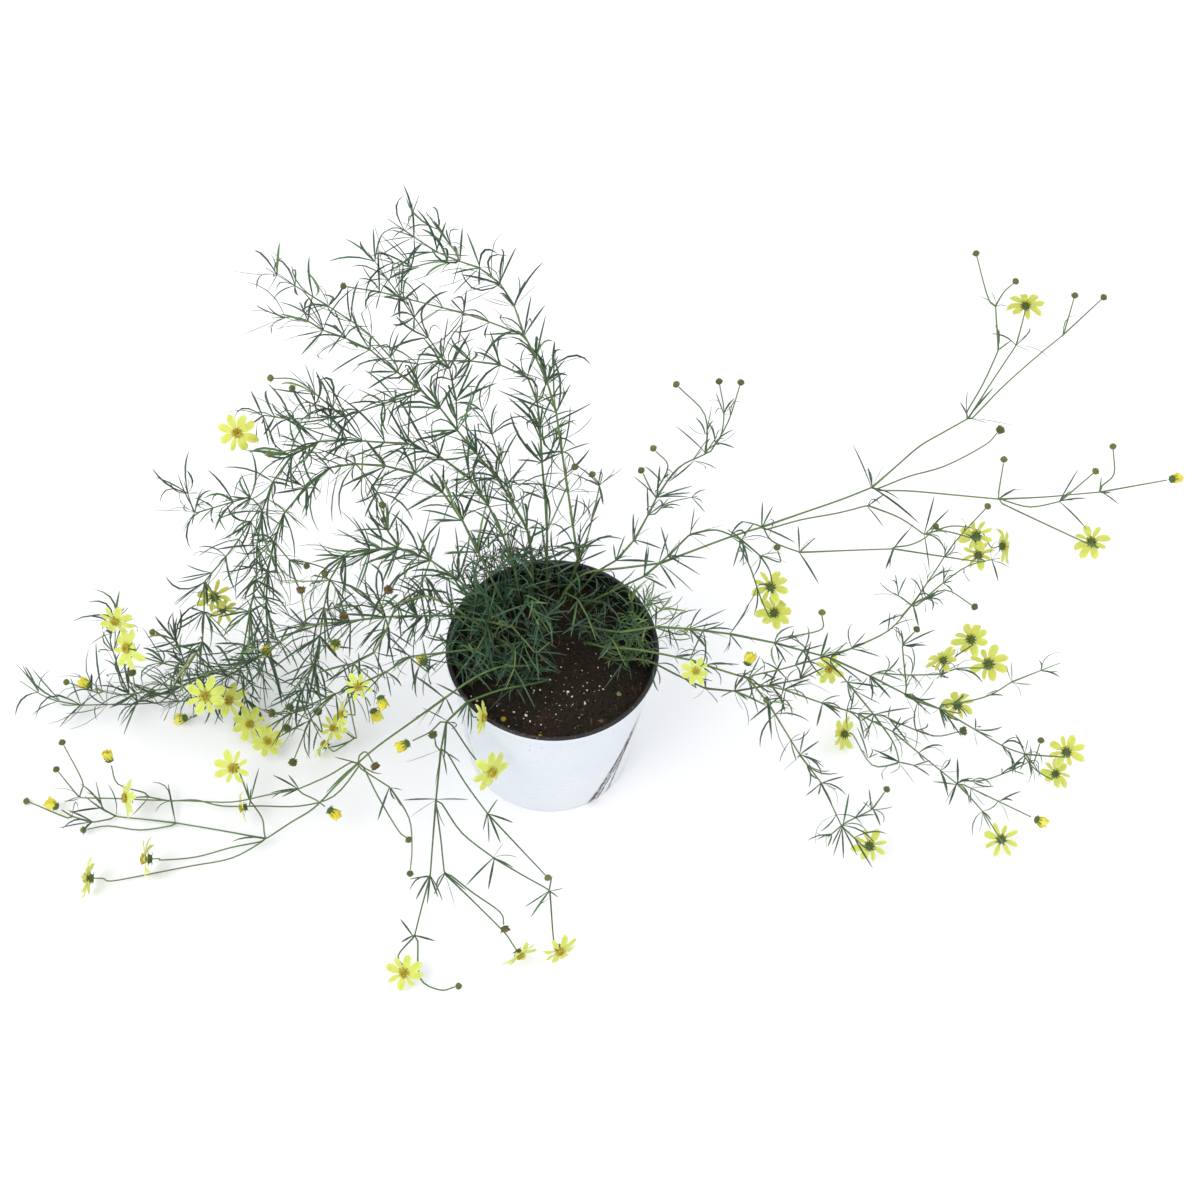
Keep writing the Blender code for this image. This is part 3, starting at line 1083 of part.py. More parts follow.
class Plant:
    """The stems as they grow: a body for each, and the sides of each node that are still free."""

    def __init__(self, layout):
        self.layout = layout
        self.bodies = {}
        self.free = {}
        self.around = Surroundings(layout)
        for path in layout.paths:
            if not path.order:
                self.grow_stem(path)
        for path in layout.paths:
            if path.order:
                self.grow_branch(path)

    def stations(self, path, first):
        """The rings of a path from one of its places on: centre, axis, radius and node."""
        layout = self.layout
        made = []
        for order in range(first, len(path.rings)):
            number = path.rings[order]
            centre, axis = layout.places[number], path.axis(layout, order)
            radius = path.thickness(order)
            if number in path.leaves or number in layout.branching:
                made.append((centre - axis * NODE_HALF_LENGTH, axis, radius, None))
                made.append((centre + axis * NODE_HALF_LENGTH, axis, radius * NODE_SWELL, number))
            else:
                made.append((centre, axis, radius, None))
        return made

    def grow_stem(self, path):
        """Grow a stem from its root up."""
        body = self.bodies[path.stem] = Growth()
        stations = self.stations(path, 0)
        centre, axis, radius, _ = stations[0]
        face = body.start(centre, axis, radius)
        self.grow_on(body, path, face, stations[1:])

    def grow_on(self, body, path, face, stations):
        """Grow a path through its stations and shape its end."""
        for centre, axis, radius, number in stations:
            face, sides = body.draw_out(face, [centre], [axis], [radius])
            if number is not None:
                self.free[number] = list(sides[0])
        self.finish_end(body, path, face)

    def grow_branch(self, path):
        """Grow a branch out of the side of its parent's node that suits it best."""
        layout, body = self.layout, self.bodies[path.stem]
        parent = path.rings[0]
        root = layout.places[parent]
        onward = (layout.places[(path.rings + [path.head])[1]] - root).normalized()
        free = self.free[parent]
        tries = []
        for spread in BRANCH_SPREADS:
            for face in sorted(free, key=lambda one: -body.normal(one).dot(onward)):
                tries.append((face, spread))
        stations = self.stations(path, 1)
        for face, spread in tries:
            lean = (body.normal(face) * spread + onward).normalized()
            reach = body.middle(face) + lean * BRANCH_REACH
            mark = body.mark(face)
            begun = (reach, (lean + onward).normalized(), path.radius, None)
            self.grow_on(body, path, face, [begun] + stations)
            if not body.crosses(mark):
                break
            body.undo(mark)
        else:
            self.grow_on(body, path, face, [begun] + stations)
        free.remove(face)
        self.around.add(body.middle(face), reach, path.radius, (parent, parent), True)
        self.around.add(reach, stations[0][0] if stations else layout.places[path.head],
                        path.radius, (parent, (path.rings + [path.head])[1]), False)

    def finish_end(self, body, path, face):
        """Close a path with a leaf tip, a bud, a spent head, a half-open head or a calyx."""
        head = self.layout.places[path.head]
        if path.end == TIP:
            body.close(face, head)
            return
        last = self.layout.places[path.rings[-1]]
        if path.end == BLOOM:
            axis = path.facing
            top = head - axis * (DISC_DEPTH + BLOOM_GAP) * path.size
            wide = CALYX_RADIUS * path.size
            heights = (-CALYX_HEIGHT, -CALYX_HEIGHT / 2, 0.0)
            radii = (STALK_RADIUS, wide, wide * CALYX_TOP)
        else:
            axis = (head - last).normalized()
            top, wide = head, HEAD_RADII[path.end]
            long = HEAD_LENGTHS[path.end] * wide
            heights = (-HEAD_NECK * long, 0.0)
            radii = (STALK_RADIUS, wide)
        centres = [top + axis * height for height in heights]
        axes = [axis] * len(centres)
        face, _ = body.draw_out(face, centres, axes, radii, half_turns=(1, 2))
        if path.end != BLOOM:
            body.close(face, top + axis * long)

    def grow_leaves(self, chance):
        """Grow the needle leaves of every node: the laid-out tips first, then the rest by rule."""
        for path in self.layout.paths:
            for number, wanted in path.leaves.items():
                tips = LEAF_TIPS.get(self.layout.keys[number], [])
                for order in range(max(wanted, len(tips))):
                    tip = tips[order] if order < len(tips) else None
                    self.grow_leaf(path, number, tip, chance)

    def grow_leaf(self, path, number, tip, chance):
        """Grow one leaf from a node, towards a laid-out tip or by rule, where it has room."""
        body, node, free = self.bodies[path.stem], self.layout.places[number], self.free[number]
        up = path.axis(self.layout, path.rings.index(number))
        for attempt in range(NEEDLE_TRIES):
            if not free:
                return
            if tip and attempt < NEEDLE_TIP_TRIES:
                height = node.z / MM + chance.uniform(*NEEDLE_RISES) * (1 + attempt)
                target = spot(*tip, max(height, 2.0)) - node
                lean, length = target.normalized(), target.length
            else:
                pick = free[chance.integers(len(free))]
                tilt = math.radians(chance.uniform(*NEEDLE_TILTS))
                turn = Matrix.Rotation(math.radians(chance.uniform(*NEEDLE_TURNS)), 3, up)
                lean = (turn @ body.normal(pick)) * math.cos(tilt) + up * math.sin(tilt)
                length = chance.uniform(*NEEDLE_LENGTHS)
            face = max(free, key=lambda one: body.normal(one).dot(lean))
            if body.normal(face).dot(lean) < NEEDLE_ALONG:
                continue
            run = leaf_run(body.middle(face), lean, length)
            if not self.around.is_free(run, NEEDLE_RADIUS, number):
                continue
            mark = body.mark(face)
            axis = (run[3] - run[0]).normalized()
            last, _ = body.draw_out(face, [run[2]], [axis], [NEEDLE_RADIUS])
            body.close(last, run[3])
            if body.crosses(mark):
                body.undo(mark)
                continue
            free.remove(face)
            for order, (start, end) in enumerate(zip(run, run[1:])):
                self.around.add(start, end, NEEDLE_RADIUS, (number, number), order == 0)
            return


def leaf_run(root, lean, length):
    """The four points of a leaf: its root, the end of its root zone, its middle and its tip."""
    middle = root + lean * length * NEEDLE_MID
    bent = (lean + Vector((0, 0, -NEEDLE_BEND))).normalized()
    return [root, root + lean * ROOT_ZONE, middle, middle + bent * length * (1 - NEEDLE_MID)]


def bloom_shape(centre, facing, size, chance):
    """The points and faces of one bloom: a low disc with petals drawn out of its sides."""
    side = facing.orthogonal().normalized()
    over = facing.cross(side)
    points, tris = [], []

    def put(turn, reach, height):
        out = side * math.cos(turn) + over * math.sin(turn)
        points.append(centre + (out * reach + facing * height) * size)
        return len(points) - 1

    step = 2 * math.pi / PETALS
    low = [put(step * number, DISC_RADIUS * DISC_UNDER, -DISC_DEPTH) for number in range(PETALS)]
    high = [put(step * number, DISC_RADIUS, 0.0) for number in range(PETALS)]
    crown = put(0.0, 0.0, DISC_RISE)
    for number in range(PETALS):
        after = (number + 1) % PETALS
        tris.append((high[number], high[after], crown))
        turn = step * (number + 0.5)
        reach = DISC_RADIUS + PETAL_LENGTH * chance.uniform(*PETAL_GROWTH)
        lift = chance.uniform(*PETAL_LIFTS)
        half = math.asin(PETAL_WIDTH / 2 / reach)
        ends = (turn - half, turn + half)
        top = [high[number]] + [put(way, reach, lift) for way in ends] + [high[after]]
        under = [low[number]] + [put(way, reach, lift - PETAL_THICKNESS) for way in ends]
        under.append(low[after])
        tris.extend([(top[0], top[1], top[3]), (top[1], top[2], top[3])])
        tris.extend([(under[0], under[3], under[1]), (under[1], under[3], under[2])])
        for k in range(3):
            tris.append((top[k], under[k], under[k + 1]))
            tris.append((top[k], under[k + 1], top[k + 1]))
    for number in range(1, PETALS - 1):
        tris.append((low[0], low[number + 1], low[number]))
    return points, tris


def main():
    """Build the pot, the soil, the stems and the blooms."""
    for old in list(bpy.data.objects):
        bpy.data.objects.remove(old, do_unlink=True)
    pot_white = material("pot_plastic", (0.80, 0.84, 0.90), 0.35)
    soil_brown = material("peat_soil", (0.035, 0.024, 0.016), 0.95)
    leaf_green = material("stem_green", (0.10, 0.20, 0.055), 0.6)
    petal_yellow = material("petal_yellow", (0.83, 0.80, 0.14), 0.55)
    chance = np.random.default_rng(SEED)
    layout = Layout()
    bend_clear(layout)
    make_pot(pot_white)
    roots = [(layout.places[path.rings[0]] + Vector((0, 0, ROOT_DEPTH)), path.radius)
             for path in layout.paths if not path.order]
    make_soil(soil_brown, roots)
    plant = Plant(layout)
    plant.grow_leaves(chance)
    for stem, body in plant.bodies.items():
        add_object(stem, body.points, body.tris, leaf_green)
    blooms = [path for path in layout.paths if path.end == BLOOM]
    for number, path in enumerate(blooms, start=1):
        shape = bloom_shape(layout.places[path.head], path.facing, path.size, chance)
        add_object(f"bloom_{number:02d}", *shape, petal_yellow)


main()
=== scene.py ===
"""A garden coreopsis in its pot: foliage, flowers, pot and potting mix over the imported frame."""

import logging
import math
from collections.abc import Callable
from dataclasses import dataclass, field
from enum import Enum

import bmesh
import bpy
import numpy as np
from mathutils import Matrix, Vector, noise


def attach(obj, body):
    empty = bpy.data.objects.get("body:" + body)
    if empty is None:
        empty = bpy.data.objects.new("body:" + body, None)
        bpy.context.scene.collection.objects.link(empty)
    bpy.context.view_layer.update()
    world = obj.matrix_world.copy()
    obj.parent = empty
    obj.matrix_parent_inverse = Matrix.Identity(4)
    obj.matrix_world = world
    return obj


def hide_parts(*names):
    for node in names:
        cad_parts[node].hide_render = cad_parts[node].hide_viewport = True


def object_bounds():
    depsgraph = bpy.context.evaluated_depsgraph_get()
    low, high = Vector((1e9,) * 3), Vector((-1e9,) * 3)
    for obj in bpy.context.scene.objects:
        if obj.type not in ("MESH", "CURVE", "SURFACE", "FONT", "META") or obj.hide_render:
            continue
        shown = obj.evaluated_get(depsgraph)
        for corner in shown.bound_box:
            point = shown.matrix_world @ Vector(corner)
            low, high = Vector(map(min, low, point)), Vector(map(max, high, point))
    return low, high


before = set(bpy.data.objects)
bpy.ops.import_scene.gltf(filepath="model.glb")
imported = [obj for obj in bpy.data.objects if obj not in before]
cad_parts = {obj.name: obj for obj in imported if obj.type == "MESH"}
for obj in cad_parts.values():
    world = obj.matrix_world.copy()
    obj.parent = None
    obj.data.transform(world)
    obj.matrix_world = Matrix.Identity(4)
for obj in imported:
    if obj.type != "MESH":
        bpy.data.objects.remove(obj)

CAD_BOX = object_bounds()
LOG = logging.getLogger("coreopsis")
MM = 0.001
ASIDE = np.array([0.31, 0.77, 0.2])
UPRIGHT = np.array([0.0, 0.0, 1.0]) + 0.001
LEAF_KNEE, LEAF_REST = 0.55, 0.45
GOLDEN_TURN = math.pi * (3 - math.sqrt(5))


class Slot(Enum):
    """The record's finishes that a piece can take."""

    POT = "pot_plastic"
    SOIL = "peat_soil"
    GREEN = "stem_green"
    YELLOW = "petal_yellow"


class End(Enum):
    """How a shoot ends."""

    TIP = "tip"
    BUD = "bud"
    SPENT = "spent"
    HALF = "half open"
    CALYX = "calyx"


def linear(code: str) -> tuple[float, float, float, float]:
    """Turn a screen colour into light values.

    Args:
        code: the colour as six hex digits.
    Returns:
        Red, green, blue and alpha as the shader takes them.
    """
    parts = [int(code[k:k + 2], 16) / 255 for k in (0, 2, 4)]
    light = [part / 12.92 if part <= 0.04045 else ((part + 0.055) / 1.055) ** 2.4 for part in parts]
    return (*light, 1.0)


# Finishes


class Recipe:
    """A material that is put together node by node."""

    colour_mix_inputs: tuple[int, int, int] = (0, 6, 7)
    colour_mix_output: int = 2

    def __init__(self, name: str, roughness: float, **sockets: float) -> None:
        """Start a material with one shader.

        Args:
            name: the material's name.
            roughness: the shader's roughness where nothing else drives it.
            sockets: other values set on the shader, by socket name with _ for a space.
        """
        self.made = bpy.data.materials.new(name)
        self.made.use_nodes = True
        self.tree = self.made.node_tree
        self.shader = self.tree.nodes["Principled BSDF"]
        self.shader.inputs["Roughness"].default_value = roughness
        for socket, value in sockets.items():
            self.shader.inputs[socket.replace("_", " ")].default_value = value
        self.place = self.node("ShaderNodeTexCoord").outputs["Object"]

    def node(self, kind: str, **links: object) -> bpy.types.Node:
        """Add a node.

        Args:
            kind: the node's type.
            links: values or outputs for its inputs, by name, or by number as i0, i1.
        Returns:
            The new node.
        """
        made = self.tree.nodes.new(kind)
        for name, value in links.items():
            key = int(name[1:]) if name[0] == "i" and name[1:].isdigit() else name.replace("_", " ")
            if isinstance(value, bpy.types.NodeSocket):
                self.tree.links.new(value, made.inputs[key])
            else:
                made.inputs[key].default_value = value
        return made

    def noise(self, scale: float, detail: float = 3.0, rough: float = 0.55,
              stretch: tuple[float, float, float] = (1.0, 1.0, 1.0),
              vector: bpy.types.NodeSocket | None = None) -> bpy.types.NodeSocket:
        """A cloud pattern.

        Args:
            scale: how many features it has in a metre.
            detail: how many finer layers lie on it.
            rough: how strong the finer layers are.
            stretch: how much closer together its features are along each axis.
            vector: where it is read, if not at the object's own place.
        Returns:
            The pattern, between 0 and 1.
        """
        moved = self.node("ShaderNodeMapping", Vector=vector or self.place, Scale=stretch)
        made = self.node("ShaderNodeTexNoise", Vector=moved.outputs[0], Scale=scale, Detail=detail,
                         Roughness=rough)
        return made.outputs["Fac"]

    def cells(self, scale: float) -> bpy.types.NodeSocket:
        """The distance to the nearest of scattered points, as grains have."""
        made = self.node("ShaderNodeTexVoronoi", Vector=self.place, Scale=scale)
        return made.outputs["Distance"]

    def reading(self, name: str) -> bpy.types.NodeSocket:
        """A number that each point of the mesh carries.

        Args:
            name: what it is called.
        Returns:
            The number.
        """
        made = self.tree.nodes.new("ShaderNodeAttribute")
        made.attribute_name = name
        return made.outputs["Fac"]

    def sum(self, kind: str, first: object, second: object, kept: bool = True) -> bpy.types.NodeSocket:
        """One sum of two values.

        Args:
            kind: what is done, such as ADD or MULTIPLY.
            first: a number or an output.
            second: a number or an output.
            kept: whether the result is kept between 0 and 1.
        Returns:
            The result.
        """
        made = self.node("ShaderNodeMath", i0=first, i1=second)
        made.operation = kind
        made.use_clamp = kept
        return made.outputs[0]

    def window(self, value: bpy.types.NodeSocket, low: float, high: float) -> bpy.types.NodeSocket:
        """A value spread out so that low becomes 0 and high becomes 1."""
        made = self.node("ShaderNodeMapRange", i0=value, i1=low, i2=high)
        return made.outputs[0]

    def ramp(self, value: bpy.types.NodeSocket, *stops: tuple[float, str]) -> bpy.types.NodeSocket:
        """Colours along a value.

        Args:
            value: what the colour goes by, between 0 and 1.
            stops: pairs of place and colour code.
        Returns:
            The colour.
        """
        made = self.node("ShaderNodeValToRGB", i0=value)
        band = made.color_ramp
        while len(band.elements) < len(stops):
            band.elements.new(0.5)
        for element, (place, code) in zip(band.elements, stops):
            element.position = place
            element.color = linear(code)
        return made.outputs[0]

    def blend(self, share: object, first: object, second: object) -> bpy.types.NodeSocket:
        """Two colours mixed.

        Args:
            share: how much of the second there is, a number or an output.
            first: a colour code or an output.
            second: a colour code or an output.
        Returns:
            The mixed colour.
        """
        made = self.tree.nodes.new("ShaderNodeMix")
        made.data_type = "RGBA"
        for key, value in zip(self.colour_mix_inputs, (share, first, second)):
            if isinstance(value, bpy.types.NodeSocket):
                self.tree.links.new(value, made.inputs[key])
            elif isinstance(value, str):
                made.inputs[key].default_value = linear(value)
            else:
                made.inputs[key].default_value = value
        return made.outputs[self.colour_mix_output]

    def colour(self, value: bpy.types.NodeSocket) -> None:
        """Feed the shader's colour."""
        self.tree.links.new(value, self.shader.inputs["Base Color"])

    def rough(self, value: bpy.types.NodeSocket, low: float, high: float) -> None:
        """Feed the shader's roughness from a value, between two bounds."""
        made = self.node("ShaderNodeMapRange", i0=value, i3=low, i4=high)
        self.tree.links.new(made.outputs[0], self.shader.inputs["Roughness"])

    def bump(self, height: bpy.types.NodeSocket, depth: float, strength: float = 1.0) -> None:
        """Feed the shader's relief, with its depth in metres."""
        made = self.node("ShaderNodeBump", Height=height, Distance=depth, Strength=strength)
        self.tree.links.new(made.outputs[0], self.shader.inputs["Normal"])


@dataclass(frozen=True)
class LeafFinish:
    """Thin matt leaves that go from deep blue-green to fresh green, each a little different."""

    name: str = "leaf_green"
    deep: str = "1E3325"
    middle: str = "40663F"
    fresh: str = "6F934A"

    def make(self) -> bpy.types.Material:
        """Build the material.

        Returns:
            The material.
        """
        mix = Recipe(self.name, 0.5, Subsurface_Weight=0.08, Subsurface_Scale=0.001,
                     Specular_IOR_Level=0.35)
        tint = mix.reading("tint")
        along = mix.reading("along")
        base = mix.ramp(tint, (0.0, self.deep), (0.36, "2B4531"), (0.62, self.middle),
                        (0.86, self.fresh), (1.0, "8F9450"))
        mottle = mix.window(mix.noise(420.0, 4.0), 0.35, 0.7)
        spotted = mix.blend(mix.sum("MULTIPLY", mottle, 0.3), base, "5F8A66")
        dry = mix.sum("MULTIPLY", mix.window(along, 0.86, 1.0), mix.window(mix.noise(60.0), 0.5, 0.62))
        mix.colour(mix.blend(dry, spotted, "8A6B3E"))
        mix.rough(mottle, 0.42, 0.6)
        mix.bump(mix.noise(1800.0, 2.0), 0.00008, 0.6)
        return mix.made


@dataclass(frozen=True)
class StalkFinish:
    """Round green stalks with brown and reddish stretches and fine lengthwise ribs."""

    name: str = "stalk_green"

    def make(self) -> bpy.types.Material:
        """Build the material.

        Returns:
            The material.
        """
        mix = Recipe(self.name, 0.5, Specular_IOR_Level=0.4)
        tint = mix.reading("tint")
        base = mix.ramp(tint, (0.0, "6F8448"), (0.45, "56703C"), (0.75, "45602F"), (1.0, "5A4A33"))
        brown = mix.window(mix.noise(26.0, 3.0), 0.55, 0.75)
        worn = mix.blend(mix.sum("MULTIPLY", brown, 0.7), base, "4F3B2C")
        fleck = mix.window(mix.noise(900.0, 2.0), 0.55, 0.7)
        mix.colour(mix.blend(mix.sum("MULTIPLY", fleck, 0.3), worn, "8C9060"))
        mix.rough(fleck, 0.42, 0.62)
        mix.bump(mix.noise(1500.0, 3.0), 0.00012, 0.7)
        return mix.made


@dataclass(frozen=True)
class PetalFinish:
    """Pale lemon petals, lighter at the edge, with veins that run from base to tip."""

    name: str = "petal_lemon"
    lemon: str = "D3DF6A"
    edge: str = "E4EDA6"
    base: str = "C6CE48"

    def make(self) -> bpy.types.Material:
        """Build the material.

        Returns:
            The material.
        """
        mix = Recipe(self.name, 0.55, Subsurface_Weight=0.25, Subsurface_Scale=0.0015,
                     Sheen_Weight=0.08, Specular_IOR_Level=0.3)
        along = mix.reading("along")
        across = mix.reading("across")
        tint = mix.reading("tint")
        lanes = mix.sum("MULTIPLY", across, 9.0, kept=False)
        grain = mix.node("ShaderNodeCombineXYZ", X=lanes, Y=along, Z=tint)
        veins = mix.noise(2.2, 2.0, 0.5, vector=grain.outputs[0])
        body = mix.ramp(along, (0.0, self.base), (0.25, self.lemon), (0.8, self.lemon), (1.0, self.edge))
        veined = mix.blend(mix.window(veins, 0.42, 0.72), body, "BFCB52")
        aside = mix.sum("ABSOLUTE", mix.sum("SUBTRACT", across, 0.5, kept=False), 0.0)
        rim = mix.window(aside, 0.36, 0.5)
        pale = mix.blend(mix.sum("MULTIPLY", rim, 0.6), veined, self.edge)
        aged = mix.sum("MULTIPLY", mix.window(tint, 0.72, 1.0), mix.window(mix.noise(160.0), 0.4, 0.7))
        mix.colour(mix.blend(aged, pale, "C0BE5E"))
        mix.rough(veins, 0.45, 0.65)
        mix.bump(veins, 0.00035, 0.8)
        return mix.made


@dataclass(frozen=True)
class SpeckledFinish:
    """A matt plant surface whose colour goes by each bit's own tint, with fine specks and grain."""

    name: str
    tones: tuple[str, str, str]
    fleck: str
    roughness: float = 0.6
    grain: float = 1400.0
    depth: float = 0.0002

    def make(self) -> bpy.types.Material:
        """Build the material.

        Returns:
            The material.
        """
        mix = Recipe(self.name, self.roughness, Specular_IOR_Level=0.3)
        tint = mix.reading("tint")
        base = mix.ramp(tint, (0.0, self.tones[0]), (0.5, self.tones[1]), (1.0, self.tones[2]))
        specks = mix.window(mix.noise(self.grain, 3.0), 0.5, 0.68)
        shade = mix.window(mix.noise(self.grain / 6, 2.0), 0.35, 0.65)
        shaded = mix.blend(mix.sum("MULTIPLY", shade, 0.35), base, self.tones[0])
        mix.colour(mix.blend(mix.sum("MULTIPLY", specks, 0.45), shaded, self.fleck))
        mix.rough(specks, self.roughness - 0.08, self.roughness + 0.12)
        mix.bump(mix.noise(self.grain, 3.0), self.depth)
        return mix.made


@dataclass(frozen=True)
class SoilFinish:
    """Moist peat: near black with brown and reddish patches, crumbs and fibres."""

    name: str = "peat_mix"

    def make(self) -> bpy.types.Material:
        """Build the material.

        Returns:
            The material.
        """
        mix = Recipe(self.name, 0.95, Specular_IOR_Level=0.2)
        crumbs = mix.noise(520.0, 6.0, 0.7)
        patches = mix.noise(34.0, 4.0, 0.6)
        dark = mix.ramp(crumbs, (0.25, "120F0A"), (0.5, "231E15"), (0.68, "393023"), (0.85, "5C5040"))
        red = mix.ramp(crumbs, (0.25, "1D140D"), (0.55, "3E2A1C"), (0.85, "6C4B38"))
        mixed = mix.blend(mix.window(patches, 0.54, 0.72), dark, red)
        fibres = mix.noise(300.0, 3.0, 0.6, stretch=(1.0, 0.22, 1.0))
        mixed = mix.blend(mix.window(fibres, 0.66, 0.76), mixed, "5E4633")
        grit = mix.window(mix.cells(900.0), 0.12, 0.06)
        mix.colour(mix.blend(mix.sum("MULTIPLY", grit, 0.5), mixed, "9B8B78"))
        mix.rough(crumbs, 0.8, 1.0)
        mix.bump(crumbs, 0.0012)
        return mix.made


@dataclass(frozen=True)
class PotWhite:
    """Thin white, faintly blue moulded plastic, with peat washed down it in a few places and painted shadow
    lines.

    Each streak has its bearing from the front at the foot, how far that turns in a metre of height,
    its half width, all in radians, and its weight.
    """

    name: str = "pot_white"
    streaks_and_shade_lines: tuple[tuple[float, float, float, float], ...] = (
        # The first two streaks follow the right outline and are part peat, part painted shadow line; the
        # fourth follows the left outline and is a painted shadow line.
        (0.6, 5.6, 0.06, 1.0), (0.68, 5.6, 0.03, 1.0), (0.86, 2.6, 0.04, 0.8), (-0.85, -3.0, 0.03, 0.3),
        (2.6, 1.0, 0.05, 0.35))

    def make(self) -> bpy.types.Material:
        """Build the material.

        Returns:
            The material.
        """
        mix = Recipe(self.name, 0.42, Specular_IOR_Level=0.45)
        axes = mix.node("ShaderNodeSeparateXYZ", Vector=mix.place)
        fall = axes.outputs[2]
        ahead = mix.sum("MULTIPLY", axes.outputs[1], -1.0, kept=False)
        bearing = mix.sum("ARCTAN2", axes.outputs[0], ahead, kept=False)
        wobble = mix.sum("MULTIPLY", mix.sum("SUBTRACT", mix.noise(38.0), 0.5, kept=False), 0.1, kept=False)
        drawn = mix.sum("ADD", bearing, wobble, kept=False)
        broken = mix.window(mix.noise(330.0, 5.0, 0.7, stretch=(1.0, 1.0, 0.45)), 0.3, 0.52)
        dirt_and_shade = None
        for middle, turn, half, weight in self.streaks_and_shade_lines:
            level = mix.sum("MULTIPLY", fall, turn, kept=False)
            aside = mix.sum("SUBTRACT", mix.sum("SUBTRACT", drawn, level, kept=False), middle, kept=False)
            off = mix.sum("ABSOLUTE", aside, 0.0, kept=False)
            band = mix.sum("MULTIPLY", mix.window(off, half, half * 0.3), weight)
            dirt_and_shade = band if dirt_and_shade is None else mix.sum("ADD", dirt_and_shade, band)
        high = mix.window(fall, 0.11, 0.085)
        splash = mix.window(mix.noise(520.0, 2.0), 0.68, 0.74)
        near = mix.window(mix.noise(16.0, 2.0), 0.5, 0.62)
        dirt_and_shade = mix.sum("MULTIPLY", mix.sum("MULTIPLY", dirt_and_shade, broken), high)
        dirt_and_shade = mix.sum("ADD", dirt_and_shade, mix.sum("MULTIPLY", mix.sum("MULTIPLY", splash, near), 0.7))
        shell = mix.blend(mix.window(mix.noise(9.0), 0.3, 0.7), "D8DEE6", "E1E5EA")
        scuffs = mix.window(mix.noise(260.0, 4.0, 0.6, stretch=(0.3, 0.3, 1.4)), 0.6, 0.72)
        shell = mix.blend(mix.sum("MULTIPLY", scuffs, 0.22), shell, "BDC3CA")
        # Brown 54402C over the white: peat streaks and splashes, and painted shadow lines along the outline.
        mix.colour(mix.blend(dirt_and_shade, shell, "54402C"))
        mix.rough(mix.sum("ADD", dirt_and_shade, scuffs), 0.36, 0.8)
        mix.bump(mix.noise(700.0, 3.0), 0.00006, 0.6)
        return mix.made


@dataclass(frozen=True)
class PotBlack:
    """The black inner layer and lip of the pot, satin, with peat dust."""

    name: str = "pot_black"

    def make(self) -> bpy.types.Material:
        """Build the material.

        Returns:
            The material.
        """
        mix = Recipe(self.name, 0.4, Specular_IOR_Level=0.45)
        dust = mix.window(mix.noise(260.0, 5.0, 0.7), 0.5, 0.72)
        base = mix.blend(mix.window(mix.noise(40.0), 0.35, 0.7), "0F1011", "1D1E20")
        mix.colour(mix.blend(mix.sum("MULTIPLY", dust, 0.55), base, "4A392C"))
        mix.rough(dust, 0.34, 0.85)
        mix.bump(mix.noise(900.0, 3.0), 0.0001, 0.7)
        return mix.made


@dataclass(frozen=True)
class FloorFinish:
    """A plain white studio surface with the faintest unevenness."""

    name: str = "studio_white"

    def make(self) -> bpy.types.Material:
        """Build the material.

        Returns:
            The material.
        """
        mix = Recipe(self.name, 0.9, Specular_IOR_Level=0.1)
        mix.colour(mix.blend(mix.noise(3.0), "F7F7F8", "FBFBFB"))
        return mix.made


class Palette:
    """Every finish of the object, made once."""

    def __init__(self) -> None:
        """Make the materials."""
        self.leaf = LeafFinish().make()
        self.stalk = StalkFinish().make()
        self.petal = PetalFinish().make()
        self.disc = SpeckledFinish("disc_gold", ("84741F", "B5A02C", "D8C84C"), "6A501A", 0.7).make()
        self.calyx = SpeckledFinish("calyx_green", ("34491F", "4C6A2A", "6B8436"), "8C7A3E", 0.5).make()
        self.bud = SpeckledFinish("bud_olive", ("3E5228", "55692F", "7C7C38"), "8A6A34", 0.5).make()
        self.spent = SpeckledFinish("spent_brown", ("36281A", "5C472B", "8C7446"), "A38C5C", 0.85).make()
        self.tuft = SpeckledFinish("tuft_yellow", ("C9B62A", "E2D93C", "EFEA6A"), "B89A2A", 0.6).make()
        self.soil = SoilFinish().make()
        self.perlite = SpeckledFinish("perlite", ("CFC8BC", "E9E5DC", "F6F4EF"), "A89C8A", 0.9, 700.0).make()
        self.bark = SpeckledFinish("bark_chips", ("241A14", "413024", "6C5645"), "8C7A66", 0.9, 600.0).make()
        self.white = PotWhite().make()
        self.black = PotBlack().make()
        self.floor = FloorFinish().make()


# Shaping


